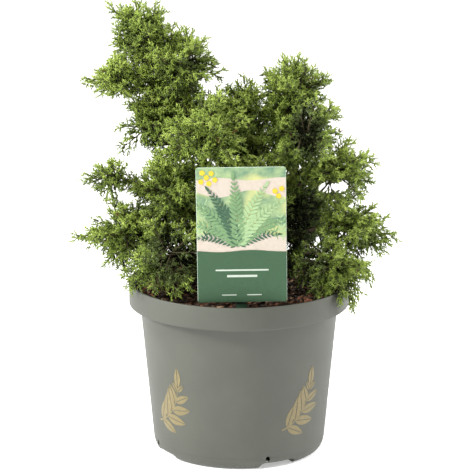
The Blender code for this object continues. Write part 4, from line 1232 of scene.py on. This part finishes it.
def grow_tube(bm, points, radii, sides):
    """A closed tube round a path, extruded ring by ring."""
    layer = bm.verts.layers.float_vector.get(FLOW) or bm.verts.layers.float_vector.new(FLOW)
    ways = [Vector(unit(b - a)) for a, b in zip(points, points[1:])]
    ways.append(ways[-1])
    turn = ways[0].to_track_quat("Z", "Y")
    place = Matrix.LocRotScale(Vector(points[0]), turn, Vector((radii[0],) * 3))
    ring = bmesh.ops.create_circle(bm, cap_ends=True, segments=sides, radius=1.0, matrix=place)["verts"]
    edges = {edge for vert in ring for edge in vert.link_edges if edge.other_vert(vert) in ring}
    length = 0.0
    for index, (point, radius) in enumerate(zip(points, radii)):
        if index:
            length += (Vector(point) - Vector(points[index - 1])).length
            turn = ways[index - 1].rotation_difference(ways[index]) @ turn
            new_place = Matrix.LocRotScale(Vector(point), turn, Vector((radius,) * 3))
            made = bmesh.ops.extrude_edge_only(bm, edges=list(edges))["geom"]
            ring = [item for item in made if isinstance(item, bmesh.types.BMVert)]
            sides_and_ring = [item for item in made if isinstance(item, bmesh.types.BMEdge)]
            edges = {edge for edge in sides_and_ring if set(edge.verts) <= set(ring)}
            bmesh.ops.transform(bm, matrix=new_place @ place.inverted(), verts=ring)
            place = new_place
        for vert in ring:
            spoke = place.inverted() @ vert.co
            vert[layer] = (spoke.x * radius, spoke.y * radius, length)
    bmesh.ops.edgeloop_fill(bm, edges=list(edges))


def raise_bark(bm, depth):
    """Pushes each corner out or in by noise that is drawn out along the limb."""
    bm.normal_update()
    layer = bm.verts.layers.float_vector[FLOW]
    for vert in bm.verts:
        flow = vert[layer]
        strips = noise.noise(flow * STRIP_SCALES)
        knobs = noise.noise(flow * KNOB_SCALES + KNOB_SHIFT)
        relief = STRIP_SHARE * strips + KNOB_SHARE * knobs
        vert.co += vert.normal * depth * relief * min(1.0, flow.xy.length / SMOOTH_CORE)


# %% Trunk and boughs
LIMB_STEP = 0.0025
LEAST_STEPS = 6
COLLAR = 0.45
COLLAR_LENGTH = 0.006
STEM_STEPS = 10
STEM_TIP_RADIUS = 0.0007
TRUNK_SINK = 0.10
TRUNK_RINGS = 26
TRUNK_END = (0.9, 0.6)
BARK_DEPTH = 0.0010
# Its colours are a red brown kept a little darker than the bark's own, as painted shade for limbs deep in
# the crown.
BARK_AND_SHADE = mottled_material(
    "cedar_bark_and_shade", (0.024, 0.014, 0.009), (0.090, 0.053, 0.033), 900, 3.0, 2600, 0.0003, 0.85,
    FLOW, (1, 1, 0.14)
)


def limb_curve(limb):
    """Points and radii along a limb in short steps, and on along its mass's stem."""
    thick, thin = LIMBS[limb][3:5]
    span = np.linalg.norm(TIPS[limb] - PATHS[limb][0])
    steps = max(LEAST_STEPS, round(span / LIMB_STEP))
    shares = np.linspace(0, 1, steps)
    radii = (thick + (thin - thick) * shares) * (1 + COLLAR * np.exp(-shares * span / COLLAR_LENGTH))
    tip, stem_end = STEMS[MASS_ON[limb]]
    on = np.linspace(1 / STEM_STEPS, 1, STEM_STEPS)
    points = np.concatenate((limb_line(limb, steps), tip + on[:, None] * (stem_end - tip)))
    return points, np.concatenate((radii, thin + (STEM_TIP_RADIUS - thin) * on))


def trunk_curve():
    """Points and radii along the trunk from under the soil, closing at its top."""
    points, radii = trunk_line(np.linspace(-TRUNK_SINK, 1.0, TRUNK_RINGS))
    radii[-2:] *= TRUNK_END
    return points, radii


LIMB_GROUPS = {
    "bark_trunk": (["trunk"], 32),
    "bark_leaders": ([LEFT, RIGHT], 16),
    "bark_boughs": ([name for name in LIMBS if name.startswith("bough")], 10),
}
for piece, (names, sides) in LIMB_GROUPS.items():
    bm = bmesh.new()
    for name in names:
        grow_tube(bm, *(trunk_curve() if name == "trunk" else limb_curve(name)), sides)
    raise_bark(bm, BARK_DEPTH)
    mesh = mesh_from(piece, bm)
    finish_piece(piece, mesh, [BARK_AND_SHADE], names, 60)
    print(piece, len(mesh.polygons), "faces")


# %% [markdown]
# ## Branchlets and shoots
# A main twig bends from its root to its tip. Branchlets leave it all round, at the golden angle from one
# to the next, and shorten towards its tip, which gives a pointed plume. Shoots leave the branchlets in the
# same way. All of them are short arcs: a start, a direction, a length and a bend, kept as rows of arrays.

# %% Arcs
STEEP = 0.8
START_SPREAD = (0.2, 0.8)
TURN_SWAY = 0.3
ANGLE_SWAY = 7
LENGTH_SPREAD = (0.75, 1.15)
RECURVE = 0.35
BEND_SWAY = 0.05


def arc_point(arcs, share):
    """The points of arcs at a share of their length."""
    share = np.asarray(share)[..., None]
    return arcs["start"] + arcs["length"][:, None] * (share * arcs["way"] + share**2 * arcs["bend"])


def arc_way(arcs, share):
    """The directions of arcs at a share of their length."""
    return unit(arcs["way"] + 2 * np.asarray(share)[..., None] * arcs["bend"])


def aside(ways, turn):
    """Directions square to each way, turned round it by an angle."""
    helper = np.where(np.abs(ways[:, 2:]) < STEEP, (0.0, 0.0, 1.0), (1.0, 0.0, 0.0))
    first = unit(np.cross(ways, helper))
    second = np.cross(ways, first)
    turn = np.asarray(turn)[..., None]
    return np.cos(turn) * first + np.sin(turn) * second


def leaning(ways, turn, angle):
    """Directions that lean away from each way by an angle, to the side that the turn gives."""
    return np.cos(angle)[:, None] * ways + np.sin(angle)[:, None] * aside(ways, turn)


def placed(counts):
    """For points along arcs, so many on each: which arc a point is on, and its place there."""
    return np.repeat(np.arange(len(counts)), counts), np.concatenate([np.arange(count) for count in counts])


def stack(rows):
    """One set of arcs from many."""
    return {key: np.concatenate([row[key] for row in rows]) for key in rows[0]}


def pick(arcs, mask):
    """Some of the arcs, by a mask or by index."""
    return {key: values[mask] for key, values in arcs.items()}


def curved(starts, ends, lifts, far):
    """Arcs from starts to ends, each lifted in its middle by a vector."""
    span = np.linalg.norm(ends - starts, axis=1)
    return {
        "start": starts,
        "way": (ends - starts + 4 * lifts) / span[:, None],
        "length": span,
        "bend": -4 * lifts / span[:, None],
        "share": np.ones(len(span)),
        "far": far,
    }


def offshoots(arcs, spacing, span, angles, length, shortening, sag, rng):
    """Arcs that leave others, spaced along them and turned on by the golden angle each time."""
    counts = np.maximum(1, np.round(arcs["length"] * (span[1] - span[0]) / spacing)).astype(int)
    parent, place = placed(counts)
    count = len(place)
    share = span[0] + (span[1] - span[0]) * (place + rng.uniform(*START_SPREAD, count)) / counts[parent]
    base = pick(arcs, parent)
    way = arc_way(base, share)
    turn = place * GOLDEN_ANGLE + rng.uniform(0, math.tau, len(counts))[parent]
    turn += rng.normal(0, TURN_SWAY, count)
    angle = np.radians(angles[0] + (angles[1] - angles[0]) * share + rng.normal(0, ANGLE_SWAY, count))
    out = leaning(way, turn, angle)
    return {
        "start": arc_point(base, share),
        "way": unit(out),
        "length": length * (1 - shortening * share) * rng.uniform(*LENGTH_SPREAD, count),
        "bend": 0.5 * (RECURVE * (way - out) + sag) + rng.normal(0, BEND_SWAY, (count, 3)),
        "share": share,
        "far": base["far"],
    }


# %% [markdown]
# An arc that would end outside the crown, in a neighbour's room, in the pot or in a window is tried again
# at three quarters and at half of its length, and is left out if even that doesn't fit.

# %% Arcs that fit
SHORTENINGS = (1.0, 0.75, 0.5)
OUTLINE_MARGIN = 0.96
POT_MARGIN = 0.0006
MIDDLES, HALVES = (np.array([mass[part] for mass in MASSES.values()]) for part in (0, 1))


def crown_place(points):
    """How far out in the crown points are, 1 at its outline, and how high in the nearest mass."""
    apart = (points[:, None] - MIDDLES) / HALVES
    outs = np.linalg.norm(apart, axis=2)
    rows, nearest = np.arange(len(points)), outs.argmin(axis=1)
    return outs[rows, nearest], apart[rows, nearest, 2]


def fitted(arcs, name, margin, overlap):
    """Arcs that keep to the crown and, where a mass is named, to its room, some of them shortened."""
    kept = []
    for factor in SHORTENINGS:
        shorter = dict(arcs, length=arcs["length"] * factor)
        tips = arc_point(shorter, 1.0)
        fits = (crown_place(tips)[0] < margin) & (room_in(TRIMS.get(name, ()), tips) > 0) | arcs["far"]
        fits &= room_in(WALLS.get(name, ()), tips) > -overlap
        fits &= clear_of_pot(tips, POT_MARGIN) & ~in_window(tips) & ~in_window(arc_point(shorter, 0.5))
        kept.append(pick(shorter, fits))
        arcs = pick(arcs, ~fits)
    return stack(kept)


def thinned(arcs, rng):
    """Arcs without some of those in hollows."""
    tips = arc_point(arcs, 1.0)
    keep = np.where(tips[:, 1] < HOLLOW_FRONT, HOLLOW_FRONT_KEEP, HOLLOW_KEEP)
    return pick(arcs, rng.uniform(0, 1, len(keep)) > in_hollow(tips) * (1 - keep))


print("lengths tried:", *SHORTENINGS)

# %% [markdown]
# A mass grows from its main twigs, from finer twigs between them, and from its stem and limb. The trunk
# and the leaders grow leafy twigs all round, which fill the crown between the masses. A form is the
# stretch of the parent that bears them, their angles at its two ends in degrees, and their length.

# %% Branchlets and shoots
MASS_SEED = 3000 + SEED
LEADER_SEED = 3500 + SEED
BRANCHLET_SPACING = 0.0027
BRANCHLET_FORM = ((0.16, 0.97), (62, 34), 0.0185)
BRANCHLET_SHORTENING = 0.55
LIMB_SPACING = 0.0017
LIMB_FORM = ((0.12, 1.0), (62, 34), 0.0175)
INNER_SPACING = 0.0038
INNER_SHORTENING = 0.40
SHOOT_SPACING = 0.0019
SHOOT_FORM = ((0.16, 0.92), (56, 38), 0.0062)
SHOOT_SHORTENING = 0.35
LEADER_TWIGS = {
    "trunk": (0.0009, (0.20, 1.0), (92, 70), 0.0680),
    LEFT: (0.0042, (0.04, 0.97), (80, 45), 0.0420),
    RIGHT: (0.0042, (0.03, 0.97), (80, 45), 0.0420),
}
LEADER_SHORTENING = 0.3
LEADER_SAG = {"trunk": -0.12, LEFT: 0.06, RIGHT: 0.06}
FILL_TWIGS = 9
FILL_STRETCH = (0.62, 0.96)
FILL_ROOTS = (0.05, 1.0)
SIDE_ROOTS = (0.30, 0.15)
TIP_SHORT = 0.0040
LEAST_SHARE = 0.2
SHOOT_MARGIN = 0.10
TRUNK_MARGIN = 1.60
WALL_OVERLAP = 0.0085
LIMB_POT_MARGIN = 0.0060
SPRAY_RISE = 0.14
SPRAY_DROOP = 0.75


def fill_twigs(name, rng):
    """Finer twigs between a mass's main twigs, which reach less far. Rows are as in main_twigs."""
    middle, (stem, stem_end), sag = MASSES[name][0], STEMS[name], sag_of(name)
    twigs = []
    for direction in even_directions(0 if name in LOOSE_TWIGS else FILL_TWIGS, rng):
        reach = rng.uniform(*FILL_STRETCH) * reach_towards(name, direction)
        root, far = stem + rng.uniform(*FILL_ROOTS) * (stem_end - stem), middle + direction * reach
        twigs.append((root, far, unit(direction + rng.normal(0, TWIG_SWAY, 3) + sag), False))
    return twigs


def twig_arcs(name, rng):
    """The twigs of a mass as arcs, which end a shoot's length short of its outline or a trim."""
    rows = main_twigs(name) + fill_twigs(name, rng) + twigs_to(name, SIDE_TIPS, SIDE_ROOTS, 0.0)
    roots, fars, leans, reaches = map(np.array, zip(*rows))
    for normal, offset in TRIMS.get(name, ()):
        room, towards = offset - roots @ normal, (fars - roots) @ normal
        shortest = np.maximum(LEAST_SHARE, room / np.maximum(towards, SAME_PLACE))
        share = np.where((towards > room) & ~reaches, shortest, 1.0)
        fars = roots + share[:, None] * (fars - roots)
    fars = fars - TIP_SHORT * leans
    elbows = fars - 0.5 * np.linalg.norm(fars - roots, axis=1)[:, None] * leans
    return curved(roots, fars, 0.5 * (elbows - (roots + fars) / 2), reaches)


def limb_arcs(name):
    """A mass's limb and its stem as arcs."""
    limb, (tip, stem_end) = LIMB_OF[name], STEMS[name]
    lifts = np.array((LIMBS[limb][-1] * UP, 0 * UP))
    return curved(np.array((PATHS[limb][0], tip)), np.array((tip, stem_end)), lifts, np.zeros(2, bool))


def shoots_on(branchlets, name, sag, rng, margin=OUTLINE_MARGIN):
    """The shoots on branchlets, which may pass the outline a little."""
    shoots = offshoots(branchlets, SHOOT_SPACING, *SHOOT_FORM, SHOOT_SHORTENING, sag, rng)
    return fitted(shoots, name, margin + SHOOT_MARGIN, 2 * WALL_OVERLAP)


def grow(name):
    """A mass's main twigs, branchlets and shoots, and the branchlets and shoots on its limb."""
    rng = np.random.default_rng(MASS_SEED + list(MASSES).index(name))
    sag = (SPRAY_RISE - SPRAY_DROOP * MASSES[name][2]) * UP
    twigs = twig_arcs(name, rng)
    branchlets = offshoots(twigs, BRANCHLET_SPACING, *BRANCHLET_FORM, BRANCHLET_SHORTENING, sag, rng)
    branchlets = fitted(branchlets, name, OUTLINE_MARGIN, WALL_OVERLAP)
    on_limb = offshoots(limb_arcs(name), LIMB_SPACING, *LIMB_FORM, 0.0, sag, rng)
    on_limb = pick(on_limb, clear_of_pot(arc_point(on_limb, 1.0), LIMB_POT_MARGIN))
    branchlets = thinned(stack([branchlets, on_limb]), rng)
    return twigs, branchlets, shoots_on(branchlets, name, sag, rng)


def grow_leader(limb):
    """Leafy twigs all round the trunk or a leader, with their branchlets and shoots."""
    rng = np.random.default_rng(LEADER_SEED + list(PATHS).index(limb))
    arch, margin = (LIMBS[limb][-1], OUTLINE_MARGIN) if limb in LIMBS else (0.0, TRUNK_MARGIN)
    line = curved(PATHS[limb][:1], PATHS[limb][-1:], arch * UP[None], np.zeros(1, bool))
    sag = LEADER_SAG[limb] * UP
    twigs = fitted(offshoots(line, *LEADER_TWIGS[limb], LEADER_SHORTENING, sag, rng), limb, margin, 0.0)
    branchlets = offshoots(twigs, INNER_SPACING, *BRANCHLET_FORM, INNER_SHORTENING, sag, rng)
    branchlets = thinned(fitted(branchlets, limb, margin, 0.0), rng)
    return twigs, branchlets, shoots_on(branchlets, limb, sag, rng, margin)


GROWN = {name: grow(name) for name in MASSES} | {limb: grow_leader(limb) for limb in LEADER_TWIGS}
print("branchlets:", sum(len(grown[1]["length"]) for grown in GROWN.values()))
print("shoots:", sum(len(grown[2]["length"]) for grown in GROWN.values()))

# %% [markdown]
# ## Woody twigs
# A main twig is thin, red brown at its root and greener at its tip. Thousands of small bodies with the
# same faces are quickest as arrays: the corners of all rods are worked out at once, and one list of faces
# is repeated for each. The cores of branchlets and shoots are made in the same way later.

# %% Woody twigs
TWIG_RADII = (0.0008, 0.0004)
TWIG_RINGS = 5
BRANCHLET_RINGS = (0, 0.05, 0.4, 0.75)
BRANCHLET_RADII = (0.00085, 0.00080)
YOUNG_BARK = plain_material("young_bark", (0.052, 0.042, 0.020), 0.75, 0.2)
# The branchlets' stem green is made darker, so that it also stands for the shade between the needles, as
# painted shade.
GREEN_BARK_AND_SHADE = plain_material("green_bark_and_shade", (0.085, 0.110, 0.034), 0.65, 0.3)


def rods(arcs, shares, radii, sides):
    """Corners and faces of slim rods along arcs, pointed at both ends. One radius goes to each ring."""
    corners = [arc_point(arcs, shares[0])]
    for share, radius in zip(shares[1:-1], radii):
        middle, way = arc_point(arcs, share), arc_way(arcs, share)
        corners += [middle + radius * aside(way, side * math.tau / sides) for side in range(sides)]
    corners.append(arc_point(arcs, shares[-1]))
    ring, last = np.arange(sides), 1 + sides * len(radii)
    after = (ring + 1) % sides
    faces = [np.column_stack((0 * ring, 1 + after, 1 + ring))]
    for level in range(len(radii) - 1):
        low, high = 1 + sides * level, 1 + sides * (level + 1)
        faces.append(np.column_stack((low + ring, low + after, high + after)))
        faces.append(np.column_stack((low + ring, high + after, high + ring)))
    faces.append(np.column_stack((last - sides + ring, last - sides + after, last + 0 * ring)))
    return np.stack(corners, axis=1), np.concatenate(faces)


twig_rings = np.linspace(0, 1, TWIG_RINGS + 2), np.linspace(*TWIG_RADII, TWIG_RINGS)
sets = []
for kind, rings, sides in ((0, twig_rings, 4), (1, (BRANCHLET_RINGS, BRANCHLET_RADII), 3)):
    for grown in GROWN.values():
        corners, faces = rods(grown[kind], *rings, sides)
        sets.append((corners, np.full(len(corners), kind), faces))
wood_mesh = mesh_of_copies("woody_twigs", sets)
finish_piece("woody_twigs", wood_mesh, [YOUNG_BARK, GREEN_BARK_AND_SHADE], (), 0)
print("woody twigs:", len(wood_mesh.polygons), "triangles")

# %% [markdown]
# ## Tones of green
# The newest shoots, on top and at the tips, are a bright yellow green, and those inside are deep green.
# Besides, light and shade are painted into the tones: sprays that are outer, higher or face up are
# painted lighter, as painted light, and those in shaded masses and in hollows are painted darker, down to
# a near-black painted shade. Each spray takes one plain colour from a short list by how far out and how
# high it is, with some chance in it. A few sprays inside have died and are brown.

# %% Tones of green
# The lighter tones are partly fresh growth and partly painted light. "shade" is partly the deep green of old
# needles and partly painted shade, and the near-black "inside" is painted shade.
TONES = {
    "fresh": (0.350, 0.440, 0.086),
    "bright": (0.280, 0.365, 0.061),
    "green": (0.208, 0.286, 0.043),
    "deep": (0.142, 0.200, 0.029),
    "shade": (0.066, 0.094, 0.018),
    "inside": (0.009, 0.012, 0.004),
    "dead": (0.160, 0.080, 0.030),
}
NEEDLE_SHINE = {"inside": 0.05}
TONE_STEPS = (0.78, 0.56, 0.32, 0.08, -0.22)
OUTER_LIGHT = 0.50
HIGH_LIGHT = 0.18
UPWARD_LIGHT = 0.12
TIP_LIGHT = 0.16
TONE_SPREAD = 0.20
DEAD_CHANCE = 0.0025
DEAD_INSIDE = 0.8
# How much each mass's sprays are painted darker, as painted shade (above 0), or lighter, as painted light
# (below 0).
MASS_SHADE_AND_LIGHT = {
    "trunk": 0.32, "inner_right": 0.28, "left_top": 0.04, "left_twig": 0.04, "front_left": 0.02,
    "right_top": -0.04, "left_shoulder": -0.06, "left_bend": -0.07, "left_side": -0.09,
    "leader_left": -0.10, "right_front": -0.12, "leader_right": -0.12, "left_skirt": -0.12,
    "back_middle": -0.12, "front_high": -0.18, "right_arm": -0.20, "right_shoulder": -0.21,
    "right_skirt": -0.20, "left_arm": -0.22, "middle": -0.24, "inner_front": -0.28,
}
NEEDLE_MATERIALS = [
    plain_material("needles_" + tone, colour, 0.45, NEEDLE_SHINE.get(tone, 0.3))
    for tone, colour in TONES.items()
]


def tones_for(arcs, name, rng):
    """Each arc's tone, as an index into the list: outer, higher and upward sprays are brighter."""
    tips = arc_point(arcs, 1.0)
    out, high = crown_place(tips)
    # Outer, higher and upward sprays are painted lighter, partly for fresh growth and partly as painted
    # light from above. Shaded masses and hollows are painted darker, as painted shade.
    light = OUTER_LIGHT * out + HIGH_LIGHT * high + UPWARD_LIGHT * arcs["way"][:, 2]
    light += TIP_LIGHT * (arcs["share"] - 0.5)
    light += rng.normal(0, TONE_SPREAD, len(out)) - MASS_SHADE_AND_LIGHT.get(name, 0.0) - HOLLOW_SHADE * in_hollow(tips)
    light = np.where(tips[:, 1] < HOLLOW_FRONT, np.maximum(TONE_STEPS[-1], light), light)
    tones = (light[:, None] < TONE_STEPS).sum(axis=1)
    tones[(rng.uniform(0, 1, len(out)) < DEAD_CHANCE) & (out < DEAD_INSIDE)] = len(TONES) - 1
    return tones


print("tones:", *TONES)

# %% [markdown]
# ## Needles
# A needle is a slim pyramid, three faces and a base, about 3 mm long. They stand all round a shoot at the
# golden angle and lean forward, more so at its tip, so that a shoot looks like a spiky cord. There are
# nearly two hundred thousand, so they are arrays that become one mesh for each part of the crown.

# %% Needles
NEEDLE_SEED = 4000 + SEED
NEEDLE_LENGTH = 0.0030
NEEDLE_LENGTH_SPREAD = (0.85, 1.15)
NEEDLE_SHORTENING = 0.35
NEEDLE_RADIUS = 0.00054
NEEDLE_SPACING = (0.0018, 0.0010)
NEEDLE_ANGLE = (54, 26)
FIRST_NEEDLE = 0.6
NEEDLE_FACES = np.array(((0, 2, 1), (0, 1, 3), (1, 2, 3), (2, 0, 3)))
CORE_RINGS = (0, 0.45, 0.98)
CORE_RADIUS = 0.00075
INNER_SIZE = 1.4
CORE_DARKEST = 4
CROWN_PARTS = {
    "needles_left_high": ("left_top", "left_shoulder", "left_arm"),
    "needles_left_middle": ("left_bend", "left_twig", "left_side"),
    "needles_left_low": ("left_skirt", "front_left"),
    "needles_centre": ("front_high", "middle", "inner_front"),
    "needles_right_high": ("right_top", "right_front", "inner_right"),
    "needles_right_low": ("right_shoulder", "right_arm", "right_skirt"),
    "needles_back_low": ("back_left_low", "back_low", "back_right_low"),
    "needles_back_high": ("back_left_high", "back_middle", "back_right_high"),
    "needles_leaders": tuple(LEADER_TWIGS),
}


def needle_points(arcs, tones, spacing, size, rng):
    """The corners of the needles on arcs, four to a needle, and each needle's tone."""
    counts = np.maximum(4, np.round(arcs["length"] / (spacing * size))).astype(int)
    shoot, place = placed(counts)
    share = (place + FIRST_NEEDLE) / counts[shoot]
    base = pick(arcs, shoot)
    turn = place * GOLDEN_ANGLE + rng.uniform(0, math.tau, len(counts))[shoot]
    angle = np.radians(NEEDLE_ANGLE[0] + (NEEDLE_ANGLE[1] - NEEDLE_ANGLE[0]) * share**2)
    out, root = leaning(arc_way(base, share), turn, angle), arc_point(base, share)
    length = size * NEEDLE_LENGTH * (1 - NEEDLE_SHORTENING * share**3)
    length *= rng.uniform(*NEEDLE_LENGTH_SPREAD, len(share))
    corners = [root + size * NEEDLE_RADIUS * aside(out, third * math.tau / 3) for third in range(3)]
    return np.stack([*corners, root + length[:, None] * out], axis=1), tones[shoot]


total = 0
for part, names in CROWN_PARTS.items():
    sets = []
    for name in names:
        rng = np.random.default_rng(NEEDLE_SEED + list(GROWN).index(name))
        _, *sprays = GROWN[name]
        size = INNER_SIZE if name in LEADER_TWIGS else 1.0
        for arcs, spacing in zip(sprays, NEEDLE_SPACING):
            tones = tones_for(arcs, name, rng)
            sets.append((*needle_points(arcs, tones, spacing, size, rng), NEEDLE_FACES))
        # Each shoot's core takes the tone one step darker than its needles, down to "shade": partly the
        # stem's own darker green, partly painted shade between the needles.
        corners, faces = rods(arcs, CORE_RINGS, (CORE_RADIUS,), 3)
        sets.append((corners, np.where(tones < CORE_DARKEST, tones + 1, tones), faces))
    mesh = mesh_of_copies(part, sets)
    replaced = ["foliage_" + name for name in names if name in MASSES]
    finish_piece(part, mesh, NEEDLE_MATERIALS, replaced, 0)
    total += len(mesh.polygons)
    print(part, len(mesh.polygons), "triangles")
print("needles and shoots:", total, "triangles")
